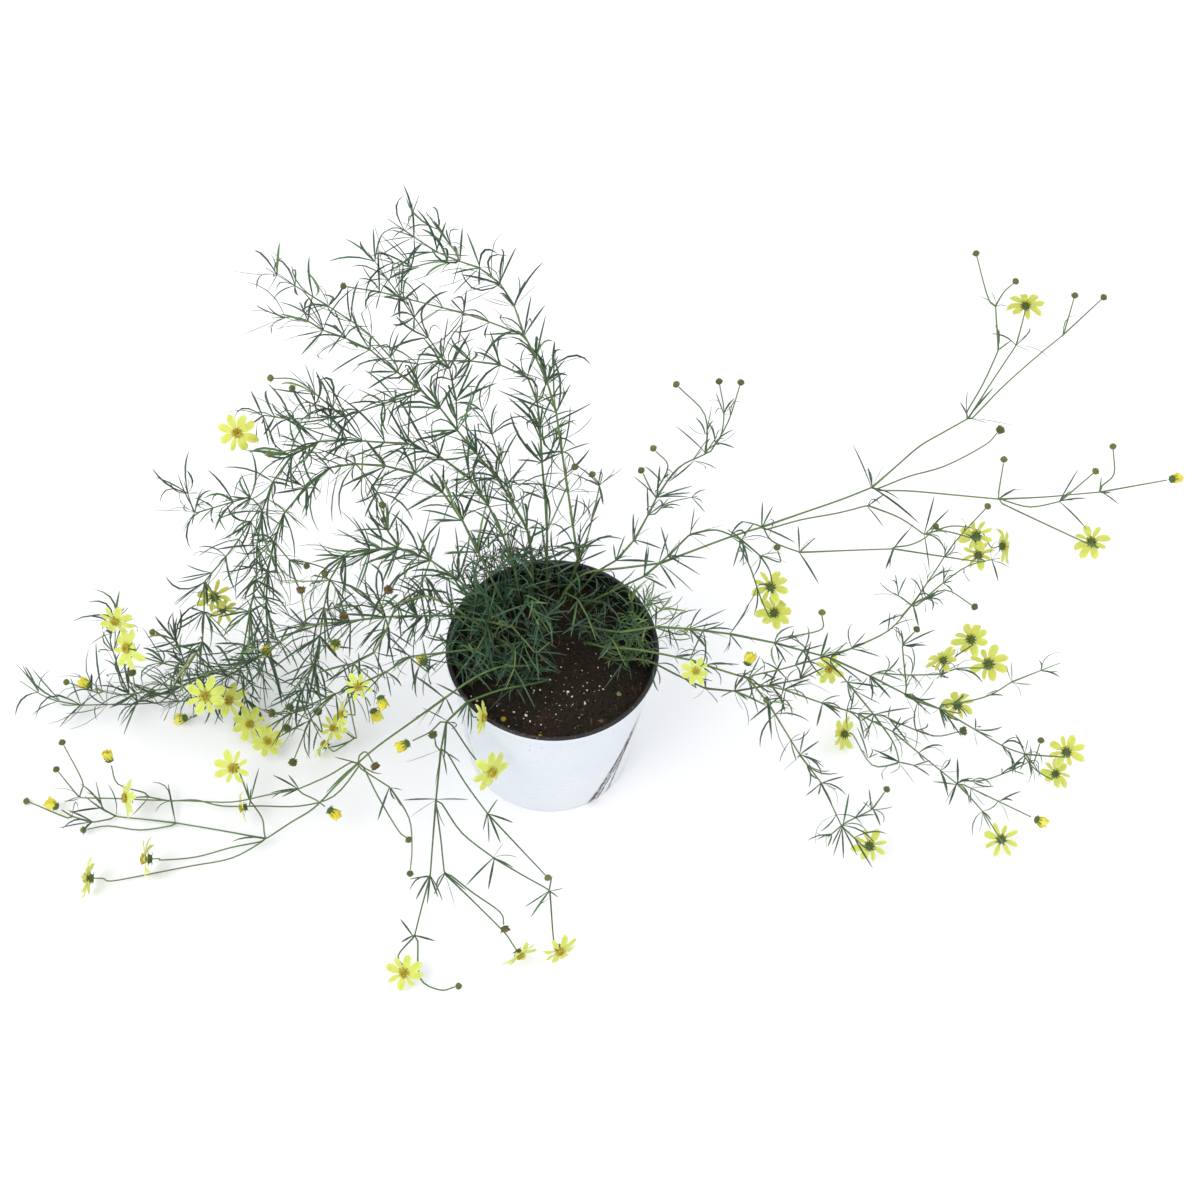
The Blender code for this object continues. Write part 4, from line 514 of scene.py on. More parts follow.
class Shaping:
    """Operators on one mesh at a time, as at a bench."""

    @staticmethod
    def clear() -> None:
        """Leave nothing selected."""
        if bpy.context.mode != "OBJECT":
            bpy.ops.object.mode_set(mode="OBJECT")
        bpy.ops.object.select_all(action="DESELECT")

    @staticmethod
    def edit(target: bpy.types.Object) -> None:
        """Open a mesh for editing with all of it selected.

        Args:
            target: the mesh object.
        """
        Shaping.clear()
        target.select_set(True)
        bpy.context.view_layer.objects.active = target
        bpy.ops.object.mode_set(mode="EDIT")
        bpy.ops.mesh.select_all(action="SELECT")

    @staticmethod
    def pick(target: bpy.types.Object, wanted: Callable[[Vector], bool]) -> None:
        """Select the vertices that a test picks, in edit mode.

        Args:
            target: the mesh object that is being edited.
            wanted: says of a vertex's place whether it is picked.
        """
        bpy.ops.mesh.select_mode(type="VERT")
        shape = bmesh.from_edit_mesh(target.data)
        for vert in shape.verts:
            vert.select_set(bool(wanted(vert.co)))
        shape.select_flush(False)
        bmesh.update_edit_mesh(target.data)

    @staticmethod
    def shift(x: float = 0.0, y: float = 0.0, z: float = 0.0) -> None:
        """Move what is selected."""
        bpy.ops.transform.translate(value=(x, y, z))

    @staticmethod
    def scale(x: float, y: float, z: float, middle: tuple[float, float, float]) -> None:
        """Scale what is selected about a point."""
        bpy.ops.transform.resize(value=(x, y, z), center_override=middle)

    @staticmethod
    def done(doubles: float = 0.0) -> None:
        """Close the editing.

        Args:
            doubles: how near points are merged, with the faces turned out. At 0 nothing is.
        """
        bpy.ops.mesh.select_all(action="SELECT")
        if doubles:
            bpy.ops.mesh.remove_doubles(threshold=doubles)
            bpy.ops.mesh.normals_make_consistent(inside=False)
        bpy.ops.object.mode_set(mode="OBJECT")

    @staticmethod
    def harden(target: bpy.types.Object, kind: str, **settings: object) -> None:
        """Add a modifier and apply it.

        Args:
            target: the object.
            kind: the modifier's type.
            settings: its values, by name.
        """
        Shaping.clear()
        target.select_set(True)
        bpy.context.view_layer.objects.active = target
        added = target.modifiers.new(kind.lower(), kind)
        for name, value in settings.items():
            setattr(added, name, value)
        bpy.ops.object.modifier_apply(modifier=added.name)


@dataclass
class Pattern:
    """A shape that is modelled once and then copied into place many times."""

    points: np.ndarray
    faces: list[tuple[int, ...]]

    @classmethod
    def taken(cls, source: bpy.types.Object) -> "Pattern":
        """Keep an object's mesh as a pattern and remove the object.

        Args:
            source: the object.
        Returns:
            The pattern.
        """
        points = np.array([vert.co for vert in source.data.vertices], float)
        faces = [tuple(face.vertices) for face in source.data.polygons]
        bpy.data.objects.remove(source, do_unlink=True)
        return cls(points, faces)


@dataclass
class Heap:
    """The points, faces and readings of a piece while its parts are put together."""

    points: list[np.ndarray] = field(default_factory=list)
    faces: list[list[tuple[int, ...]]] = field(default_factory=list)
    finishes: list[np.ndarray] = field(default_factory=list)
    readings: dict[str, list[np.ndarray]] = field(default_factory=dict)
    size: int = 0

    def add(self, points: np.ndarray, faces: list[tuple[int, ...]], finish: int = 0,
            **readings: np.ndarray | float) -> None:
        """Put a part on the heap.

        Args:
            points: its points, one row each.
            faces: its faces, by row.
            finish: which of the piece's finishes it has.
            readings: numbers for its points, such as tint, along and across.
        """
        count = len(points)
        start = self.size
        self.points.append(points)
        self.faces.append([tuple(corner + start for corner in face) for face in faces])
        self.finishes.append(np.full(len(faces), finish))
        for name in ("tint", "along", "across"):
            value = readings.get(name, 0.5)
            self.readings.setdefault(name, []).append(np.broadcast_to(np.asarray(value, float), (count,)))
        self.size += count

    def piece(self, name: str, finishes: list[bpy.types.Material], slot: Slot, replaced: str | None,
              angle: float = 60.0) -> None:
        """Make the piece, let it ride on the part and dress it.

        Args:
            name: the piece's name.
            finishes: its materials in order.
            slot: the record's finish; not used.
            replaced: the node that it stands for, if any.
            angle: edges sharper than this many degrees stay sharp.
        """
        mesh = bpy.data.meshes.new(name)
        faces = [face for part in self.faces for face in part]
        mesh.from_pydata(np.concatenate(self.points).tolist(), [], faces)
        for material in finishes:
            mesh.materials.append(material)
        mesh.polygons.foreach_set("material_index", np.concatenate(self.finishes).astype(np.int32))
        for reading, parts in self.readings.items():
            layer = mesh.attributes.new(reading, "FLOAT", "POINT")
            layer.data.foreach_set("value", np.concatenate(parts).astype(np.float32))
        mesh.update()
        made = bpy.data.objects.new(name, mesh)
        bpy.context.scene.collection.objects.link(made)
        finish_piece(made, replaced, angle)


def finish_piece(made: bpy.types.Object, replaced: str | None, angle: float) -> None:
    """Smooth a piece, let it ride on the part and report it.

    Args:
        made: the object, at the origin, with its materials.
        replaced: the node that it stands for, if any.
        angle: edges sharper than this many degrees stay sharp.
    """
    Shaping.clear()
    made.select_set(True)
    bpy.context.view_layer.objects.active = made
    bpy.ops.object.shade_smooth_by_angle(angle=math.radians(angle))
    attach(made, "root")
    if replaced:
        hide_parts(replaced)
    LOG.info("%s: %d faces", made.name, len(made.data.polygons))


# Reading the frame


@dataclass
class Node:
    """A place on a shoot where leaves grow: its middle, the shoot's way on and its radius."""

    place: np.ndarray
    axis: np.ndarray
    radius: float


@dataclass
class Shoot:
    """One line of a stem from its root or fork to its end."""

    places: list[np.ndarray]
    radii: list[float]
    order: int
    nodes: list[Node] = field(default_factory=list)
    end: End = End.TIP
    head: np.ndarray | None = None
    facing: np.ndarray | None = None
    size: float = 1.0


def unit(way: np.ndarray) -> np.ndarray:
    """A direction or rows of them, brought to length one."""
    return way / np.maximum(np.linalg.norm(way, axis=-1, keepdims=True), 1e-12)


class Solid:
    """A node's mesh with its doubles merged, to find its way along."""

    def __init__(self, name: str) -> None:
        """Read a node of the frame, which stays as it is.

        Args:
            name: the node's name.
        """
        shape = bmesh.new()
        shape.from_mesh(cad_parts[name].data)
        bmesh.ops.remove_doubles(shape, verts=shape.verts, dist=2e-5)
        shape.verts.index_update()
        self.points = np.array([vert.co for vert in shape.verts], float)
        self.links = [{edge.other_vert(vert).index for edge in vert.link_edges} for vert in shape.verts]
        self.faces = [tuple(vert.index for vert in face.verts) for face in shape.faces]
        shape.free()

    def middle(self, corners: set[int]) -> np.ndarray:
        """The middle of some of its points."""
        return self.points[sorted(corners)].mean(axis=0)

    def radius(self, corners: set[int]) -> float:
        """How far some of its points lie from their middle."""
        return float(np.linalg.norm(self.points[sorted(corners)] - self.middle(corners), axis=1).mean())

    def around(self, corners: set[int]) -> set[int]:
        """The points next to some of its points."""
        return set().union(*(self.links[corner] for corner in corners)) - corners


@dataclass
class Stem:
    """A stem of the frame, or one on the soil, as shoots, nodes, leaves and heads.

    Its sizes tell a needle from a shoot and one kind of end from another.
    """

    name: str
    shoots: list[Shoot] = field(default_factory=list)
    leaves: list[tuple[np.ndarray, np.ndarray, np.ndarray]] = field(default_factory=list)
    needle: float = 0.85 * MM
    shortest_leaf: float = 8.0 * MM
    shortest_tip: float = 2.0 * MM
    pair: float = 3.8 * MM
    root_top: float = 0.1212
    root_reach: float = 0.076
    open_head: float = 3.2 * MM
    tall_head: float = 4.2 * MM
    bud_head: float = 2.3 * MM
    calyx_head: float = 1.9 * MM
    calyx_ring: float = 2.72 * MM
    tip_end: float = 0.4 * MM

    def read(self) -> "Stem":
        """Follow the stem from its root ring up.

        Returns:
            The stem itself.
        """
        self.solid = solid = Solid(self.name)
        self.tips: dict[int, set[int]] = {}
        self.blades: set[int] = set()
        for tip, links in enumerate(solid.links):
            if len(links) != 3 or not all(links - {one} <= solid.links[one] for one in links):
                continue
            reach = np.linalg.norm(solid.points[tip] - solid.middle(links))
            if reach < self.shortest_tip:
                continue
            if abs(solid.radius(links) - self.needle) < 0.02 * MM and reach > self.shortest_leaf:
                root = solid.around(links) - {tip}
                if len(root) == 3:
                    self.leaves.append((solid.middle(root), solid.middle(links), solid.points[tip]))
                    self.blades |= links | {tip}
                    continue
            self.tips[tip] = links
        low = solid.points[:, 2] < self.root_top
        inside = np.hypot(solid.points[:, 0], solid.points[:, 1]) < self.root_reach
        root = set(np.flatnonzero(low & inside).tolist())
        self.seen: set[int] = set(root)
        todo = [(root, Shoot([solid.middle(root)], [solid.radius(root)], 0))]
        while todo:
            ring, shoot = todo.pop()
            todo.extend(self.follow(ring, shoot))
            self.shoots.append(shoot)
        return self

    @property
    def stands_for(self) -> str | None:
        """The node of the frame that the stem stands for, if it has one."""
        return self.name if self.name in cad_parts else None

    def called(self, kind: str) -> str:
        """The name of one of its pieces."""
        return kind + "_" + self.name.replace("stem_", "")

    def follow(self, ring: set[int], shoot: Shoot) -> list[tuple[set[int], Shoot]]:
        """Walk one shoot to its end.

        Args:
            ring: the points of its first ring.
            shoot: the shoot, which gets its places, nodes and end.
        Returns:
            The first ring and shoot of each branch on the way.
        """
        solid, forks, before = self.solid, [], set()
        while True:
            near = (solid.around(ring) | solid.around(before)) - self.seen - self.blades
            middle = solid.middle(ring)
            tip = [one for one in near if one in self.tips and self.tips[one] == ring]
            if tip or not near:
                self.close(shoot, ring, tip)
                return forks
            close = {one for one in near if np.linalg.norm(solid.points[one] - middle) < self.pair}
            upward = None
            if len(close) == 3 and self.is_swollen(ring, close):
                upward = close
            groups = self.groups(near)
            if upward is None:
                onward = [group for group in groups if not (solid.around(group) & before)]
                upward = max(onward, key=len) if onward else groups[0]
            for group in groups:
                if group != upward and len(group) == 3 and not group & upward:
                    if solid.around(group) & before:
                        forks.append((group, self.fork(shoot, group)))
            rise = solid.middle(upward) - middle
            if np.linalg.norm(rise) < self.pair and self.is_swollen(ring, upward):
                shoot.nodes.append(Node((middle + solid.middle(upward)) / 2, unit(rise), solid.radius(ring)))
            self.seen |= upward
            for group, _ in forks:
                self.seen |= group
            shoot.places.append(solid.middle(upward))
            shoot.radii.append(solid.radius(upward))
            before, ring = ring, upward

    def is_swollen(self, ring: set[int], onward: set[int]) -> bool:
        """Whether two rings are the low and high side of a node."""
        return 1.2 < self.solid.radius(onward) / self.solid.radius(ring) < 1.5

    def groups(self, corners: set[int]) -> list[set[int]]:
        """Split points into the groups that hang together, smallest first.

        Args:
            corners: the points.
        Returns:
            The groups.
        """
        left, found = set(corners), []
        while left:
            group, fresh = set(), {left.pop()}
            while fresh:
                group |= fresh
                fresh = self.solid.around(group) & left
                left -= fresh
            found.append(group)
        return sorted(found, key=lambda one: (len(one), sorted(one)))

    def fork(self, parent: Shoot, ring: set[int]) -> Shoot:
        """Begin the branch that a ring beside a node belongs to.

        Args:
            parent: the shoot that it grows from.
            ring: the points of its first ring.
        Returns:
            The branch, from the middle of the parent.
        """
        root = self.solid.middle(self.solid.around(ring) & self.seen)
        radius = self.solid.radius(ring)
        trunk = np.array(parent.places)
        nearest = trunk[np.linalg.norm(trunk - root, axis=1).argmin()]
        return Shoot([nearest, root, self.solid.middle(ring)], [radius] * 3, parent.order + 1)

    def close(self, shoot: Shoot, ring: set[int], tip: list[int]) -> None:
        """Say what a shoot ends in.

        Args:
            shoot: the shoot, which gets its end and its head.
            ring: the points of its last ring.
            tip: the point beyond the ring, if there is one.
        """
        solid = self.solid
        middle, radius = solid.middle(ring), solid.radius(ring)
        if tip:
            point = solid.points[tip[0]]
            self.seen.add(tip[0])
            reach = float(np.linalg.norm(point - middle))
            shoot.head, shoot.facing = middle, unit(point - middle)
            if radius > self.open_head:
                shoot.end = End.HALF if reach > self.tall_head else End.SPENT
            elif radius > self.bud_head:
                shoot.end = End.BUD
            else:
                shoot.places.append(point)
                shoot.radii.append(self.tip_end)
        elif radius > self.calyx_head and len(shoot.places) > 3:
            shoot.end = End.CALYX
            shoot.head, shoot.facing = middle, unit(middle - shoot.places[-3])
            shoot.size = radius / self.calyx_ring
            del shoot.places[-2:], shoot.radii[-2:]
        if shoot.end in (End.HALF, End.SPENT, End.BUD):
            del shoot.places[-1:], shoot.radii[-1:]


# Foliage


@dataclass
class Blade:
    """A narrow leaf segment: a flat lozenge in section, with a ridge, drawn out to a point."""

    width: float = 1.6 * MM
    thickness: float = 0.45 * MM
    outline: tuple[tuple[float, float], ...] = ((0.12, 0.62), (0.32, 0.92), (0.55, 1.0), (0.76, 0.8),
                                                (0.92, 0.45), (1.0, 0.06))
    root: float = 0.4

    def pattern(self) -> Pattern:
        """Model one blade of length 1 and width 1 along Y, drawn out station by station.

        Returns:
            The blade.
        """
        bpy.ops.mesh.primitive_circle_add(vertices=4, radius=0.5, fill_type="NGON",
                                          rotation=(math.pi / 2, 0.0, 0.0))
        made = bpy.context.object
        bpy.ops.object.transform_apply(location=False, rotation=True, scale=True)
        Shaping.edit(made)
        Shaping.scale(self.root, 1.0, self.root, (0.0, 0.0, 0.0))
        before, wide = 0.0, self.root
        for place, width in self.outline:
            bpy.ops.mesh.extrude_region_move(TRANSFORM_OT_translate={"value": (0.0, place - before, 0.0)})
            Shaping.scale(width / wide, 1.0, width / wide, (0.0, place, 0.0))
            before, wide = place, width
        Shaping.done(1e-5)
        return Pattern.taken(made)

    def spread(self, heap: Heap, pattern: Pattern, roots: np.ndarray, middles: np.ndarray, tips: np.ndarray,
               widths: np.ndarray, rolls: np.ndarray, tints: np.ndarray) -> None:
        """Bend one copy of the blade along each leaf.

        Args:
            heap: the heap that gets the leaves.
            pattern: the modelled blade.
            roots: where the leaves start, one row each.
            middles: what they pass at the knee.
            tips: where they end.
            widths: how wide each is, as a share of the blade's width.
            rolls: how far each is turned about its own length, in radians.
            tints: the tint of each.
        """
        knee = (middles - LEAF_REST ** 2 * roots - LEAF_KNEE ** 2 * tips) / (2 * LEAF_REST * LEAF_KNEE)
        t = pattern.points[:, 1][None, :, None]
        line = (1 - t) ** 2 * roots[:, None] + 2 * t * (1 - t) * knee[:, None] + t ** 2 * tips[:, None]
        way = unit(2 * (1 - t) * (knee - roots)[:, None] + 2 * t * (tips - knee)[:, None])
        side = unit(np.cross(way, UPRIGHT))
        over = np.cross(side, way)
        turn = rolls[:, None, None]
        across = side * np.cos(turn) + over * np.sin(turn)
        upward = over * np.cos(turn) - side * np.sin(turn)
        wide = (widths * self.width)[:, None, None]
        spread = line + across * pattern.points[None, :, 0:1] * wide
        spread = spread + upward * pattern.points[None, :, 2:3] * self.thickness
        along = pattern.points[:, 1]
        for points, tint in zip(spread, tints):
            heap.add(points, pattern.faces, 0, tint=tint, along=along, across=pattern.points[:, 0] + 0.5)


@dataclass
class Ground:
    """What leaves may not pass: the floor, the pot's wall, the soil and the box of the frame."""

    foot: float = 70.0 * MM
    rim: float = 85.0 * MM
    height: float = 150.0 * MM
    soil: float = 131.0 * MM
    spare: float = 4.0 * MM
    margin: float = 6.0 * MM

    def is_free(self, points: np.ndarray) -> np.ndarray:
        """Whether each point is clear of the pot, the soil and the floor, and within the frame's box.

        Args:
            points: the places, with x, y and z last.
        Returns:
            One yes or no a place.
        """
        x, y, z = points[..., 0], points[..., 1], points[..., 2]
        reach = np.hypot(x, y)
        wall = self.foot + (self.rim - self.foot) * np.clip(z / self.height, 0.0, 1.0)
        outside = (reach > wall + self.spare) | (z > self.height + self.spare)
        within = (reach < wall - self.spare - 2 * MM) & (z > self.soil)
        lowest, highest = np.array(CAD_BOX[0]) - self.margin, np.array(CAD_BOX[1]) + self.margin
        boxed = ((points > lowest) & (points < highest)).all(axis=-1)
        return (outside | within) & boxed & (z > 1.5 * MM)


@dataclass(frozen=True)
class Habit:
    """How leafy a stem is: the segments added at a node, the spacing between, length, tint and breadth."""

    fewest: int = 1
    most: int = 3
    between: float = 0.0
    long: float = 1.0
    tone: float = 0.3
    widest: float = 1.0


@dataclass
class Foliage:
    """The leaves: those of the frame, and the finer ones that fill each node.

    The bare lengths are what a shoot keeps free of added leaves at its foot, fork, head or tip, and
    the face's reach, back and front bound the room that each flower keeps.
    """

    blade: Blade = field(default_factory=Blade)
    ground: Ground = field(default_factory=Ground)
    lengths: tuple[float, float] = (16.0 * MM, 36.0 * MM)
    lift: tuple[float, float] = (5.0, 74.0)
    bare_foot: float = 26.0 * MM
    bare_fork: float = 14.0 * MM
    bare_head: float = 22.0 * MM
    bare_tip: float = 1.0 * MM
    apart: float = 9.0 * MM
    face_reach: float = 17.0 * MM
    face_back: float = -2.5 * MM
    face_front: float = 26.0 * MM
    habits: dict[str, Habit] = field(default_factory=lambda: {
        "stem_left_mass": Habit(8, 12, 16.0 * MM, 1.5, 0.42, 1.35),
        "stem_left_mid": Habit(7, 10, 18.0 * MM, 1.4, 0.38, 1.35),
        "stem_left_back": Habit(5, 8, 22.0 * MM, 1.4, 0.34, 1.35),
        "stem_left_straight": Habit(5, 8, 20.0 * MM, 1.4, 0.34, 1.35),
        "stem_left_low": Habit(5, 8, 21.0 * MM, 1.4, 0.36, 1.3),
        "stem_back_left": Habit(4, 6, 24.0 * MM, 1.45, 0.28, 1.45),
        "stem_back_tall": Habit(4, 6, 24.0 * MM, 1.4, 0.28, 1.45),
        "stem_left_front": Habit(3, 5, 34.0 * MM, 1.1), "stem_left_edge": Habit(2, 4, 0.0, 1.1),
        "stem_back_right": Habit(3, 5, 26.0 * MM, 0.75, 0.34),
        "stem_right_low": Habit(3, 5, 28.0 * MM, 0.95), "stem_right_mid": Habit(3, 5, 26.0 * MM, 0.9),
        "stem_right_front": Habit(3, 5, 26.0 * MM, 0.95), "stem_arch_right": Habit(2, 4, 30.0 * MM, 0.9),
        # basal_crown's low tone of 0.2 is painted shade: the shoots down in the pot get deep tints for the
        # shade they stand in.
        "basal_crown": Habit(3, 5, 0.0, 1.0, 0.2), "basal_edge": Habit(4, 6, 0.0, 0.9, 0.72)})

    def __post_init__(self) -> None:
        """Model the blade."""
        self.pattern = self.blade.pattern()

    def whorl(self, chance: np.random.Generator, node: Node, count: int, long: float) -> list[np.ndarray]:
        """Lay out one node's leaves: opposite leaves, each parted into narrow segments.

        Args:
            chance: the source of variation.
            node: where they grow.
            count: how many segments in all.
            long: how long they are as a share of the usual length.
        Returns:
            Rows of root, middle and tip.
        """
        side = unit(np.cross(node.axis, chance.normal(size=3)))
        other = np.cross(node.axis, side)
        made = []
        for number in range(count):
            turn = math.pi * (number % 2) + chance.normal(0.0, 0.45) + (number // 4) * math.pi / 2
            rise = math.radians(chance.uniform(*self.lift))
            out = side * math.cos(turn) + other * math.sin(turn)
            lean = unit(out * math.cos(rise) + node.axis * math.sin(rise) + np.array([0.0, 0.0, 0.15]))
            length = chance.uniform(*self.lengths) * long
            root = node.place + out * node.radius * 0.6
            middle = root + lean * length * LEAF_KNEE
            droop = np.array([0.0, 0.0, -chance.uniform(0.0, 0.9)])
            tip = middle + unit(lean + droop + chance.normal(0.0, 0.42, 3)) * length * LEAF_REST
            made.append(np.stack([root, middle, tip]))
        return made

    def stations(self, shoot: Shoot, spacing: float) -> list[Node]:
        """The places of a shoot that carry leaves: its nodes and some between them.

        Args:
            shoot: the shoot.
            spacing: how far apart those between are. At 0 there are none.
        Returns:
            The places.
        """
        found = list(shoot.nodes)
        if not spacing:
            return found
        places = np.array(shoot.places)
        steps = np.linalg.norm(np.diff(places, axis=0), axis=1)
        begun = self.bare_foot if shoot.order == 0 else self.bare_fork
        reach = np.concatenate([[0.0], np.cumsum(steps)])
        bare = self.bare_tip if shoot.end is End.TIP else self.bare_head
        for spot in np.arange(begun, steps.sum() - bare, spacing):
            where = np.array([np.interp(spot, reach, places[:, k]) for k in range(3)])
            ahead = np.array([np.interp(spot + 2 * MM, reach, places[:, k]) for k in range(3)])
            if all(np.linalg.norm(node.place - where) > self.apart for node in shoot.nodes):
                radius = float(np.interp(spot, reach, shoot.radii))
                found.append(Node(where, unit(ahead - where + 1e-9), radius))
        return found

    def clear(self, runs: np.ndarray, blooms: list["Bloom"]) -> np.ndarray:
        """Whether each leaf keeps clear of the pot, the soil, the floor and the faces of flowers.

        Args:
            runs: rows of root, middle and tip.
            blooms: the flowers.
        Returns:
            One yes or no a leaf.
        """
        bits = np.stack([runs[:, 0] * (1 - t) ** 2 + runs[:, 1] * 2 * t * (1 - t) + runs[:, 2] * t ** 2
                         for t in (0.25, 0.5, 0.75, 1.0)], axis=1)
        free = self.ground.is_free(bits).all(axis=1)
        for bloom in blooms:
            offset = bits - bloom.centre
            height = offset @ bloom.axis
            reach = np.linalg.norm(offset - height[..., None] * bloom.axis, axis=-1)
            before = (height > self.face_back) & (height < self.face_front)
            free &= ~((reach < self.face_reach * bloom.size) & before).any(axis=1)
        return free

    def dress(self, stem: Stem, blooms: list["Bloom"], palette: Palette) -> None:
        """Make the leaves of one stem as a piece.

        Args:
            stem: the stem as it was read.
            blooms: the flowers, whose faces stay clear.
            palette: the finishes.
        """
        chance = np.random.default_rng(sum(map(ord, stem.name)))
        heap = Heap()
        fixed = np.array([np.stack(leaf) for leaf in stem.leaves]).reshape(-1, 3, 3)
        habit = self.habits.get(stem.name, Habit())
        added = []
        for shoot in stem.shoots:
            for node in self.stations(shoot, habit.between):
                count = int(chance.integers(habit.fewest, habit.most + 1))
                added.extend(self.whorl(chance, node, count, habit.long * (0.8 if shoot.order else 1.0)))
        runs = np.array(added)
        runs = runs[self.clear(runs, blooms)]
        runs = np.concatenate([fixed, runs])
        tints = np.clip(chance.normal(habit.tone, 0.19, len(runs)), 0.0, 1.0)
        widths = chance.uniform(0.5, habit.widest, len(runs))
        widths[:len(fixed)] = chance.uniform(0.85, 1.25, len(fixed))
        rolls = chance.normal(0.0, 0.6, len(runs))
        self.blade.spread(heap, self.pattern, runs[:, 0], runs[:, 1], runs[:, 2], widths, rolls, tints)
        heap.piece(stem.called("leaves"), [palette.leaf], Slot.GREEN, stem.stands_for, 50.0)


@dataclass
class Stalks:
    """The round stalks of a stem, swollen at its nodes."""

    thin: float = 0.74
    steps: int = 4
    collar: float = 1.45

    def line(self, shoot: Shoot) -> list[tuple[np.ndarray, float]]:
        """A smooth line through a shoot's rings, with a radius at each place.

        Args:
            shoot: the shoot.
        Returns:
            Pairs of place and radius.
        """
        places, radii = np.array(shoot.places), np.array(shoot.radii) * self.thin
        if len(places) < 2:
            return [(places[0], radii[0])]
        ends = np.concatenate([[2 * places[0] - places[1]], places, [2 * places[-1] - places[-2]]])
        made = []
        for order in range(len(places) - 1):
            a, b, c, d = ends[order:order + 4]
            span = np.linalg.norm(c - b)
            steps = self.steps if span > 6.0 * MM else 1
            for t in np.arange(steps) / steps:
                bend = 0.5 * (2 * b + (c - a) * t + (2 * a - 5 * b + 4 * c - d) * t * t
                              + (3 * b - a - 3 * c + d) * t ** 3)
                made.append((bend if steps > 1 else b, radii[order] * (1 - t) + radii[order + 1] * t))
        made.append((places[-1], radii[-1]))
        return made

    def dress(self, stem: Stem, palette: Palette) -> None:
        """Sweep a stem's stalks as bevelled curves and make them one mesh.

        Args:
            stem: the stem as it was read.
            palette: the finishes.
        """
        name = stem.called("stalks")
        shape = bpy.data.curves.new(name, "CURVE")
        shape.dimensions = "3D"
        shape.bevel_depth = MM
        shape.bevel_resolution = 2
        shape.use_fill_caps = True
        for shoot in stem.shoots:
            line = self.line(shoot)
            spline = shape.splines.new("POLY")
            spline.points.add(len(line) - 1)
            for point, (place, radius) in zip(spline.points, line):
                point.co = (*place, 1.0)
                point.radius = radius / MM
        made = bpy.data.objects.new(name, shape)
        bpy.context.scene.collection.objects.link(made)
        Shaping.clear()
        made.select_set(True)
        bpy.context.view_layer.objects.active = made
        bpy.ops.object.convert(target="MESH")
        made = bpy.context.object
        chance = np.random.default_rng(len(name) * 7 + sum(map(ord, name)))
        layer = made.data.attributes.new("tint", "FLOAT", "POINT")
        layer.data.foreach_set("value", np.full(len(made.data.vertices), chance.uniform(0.05, 0.9)))
        made.data.materials.clear()
        made.data.materials.append(palette.stalk)
        finish_piece(made, stem.stands_for, 70.0)


# Heads


@dataclass(frozen=True)
class Scales:
    """A ring of scales on a head: lengths in millimetres, rise in degrees up from level."""

    up: float
    count: int
    length: float
    rise: float
    finish: int
    tint: float
    out: float
    broad: float = 1.0


@dataclass(frozen=True)
class HeadPlan:
    """How one kind of head is built, in millimetres: how far its foot is sunk, its core and its scales."""

    sunk: float
    is_closed: bool
    wide: float
    tall: float
    finish: int
    tint: float | None
    rings: tuple[Scales, ...]


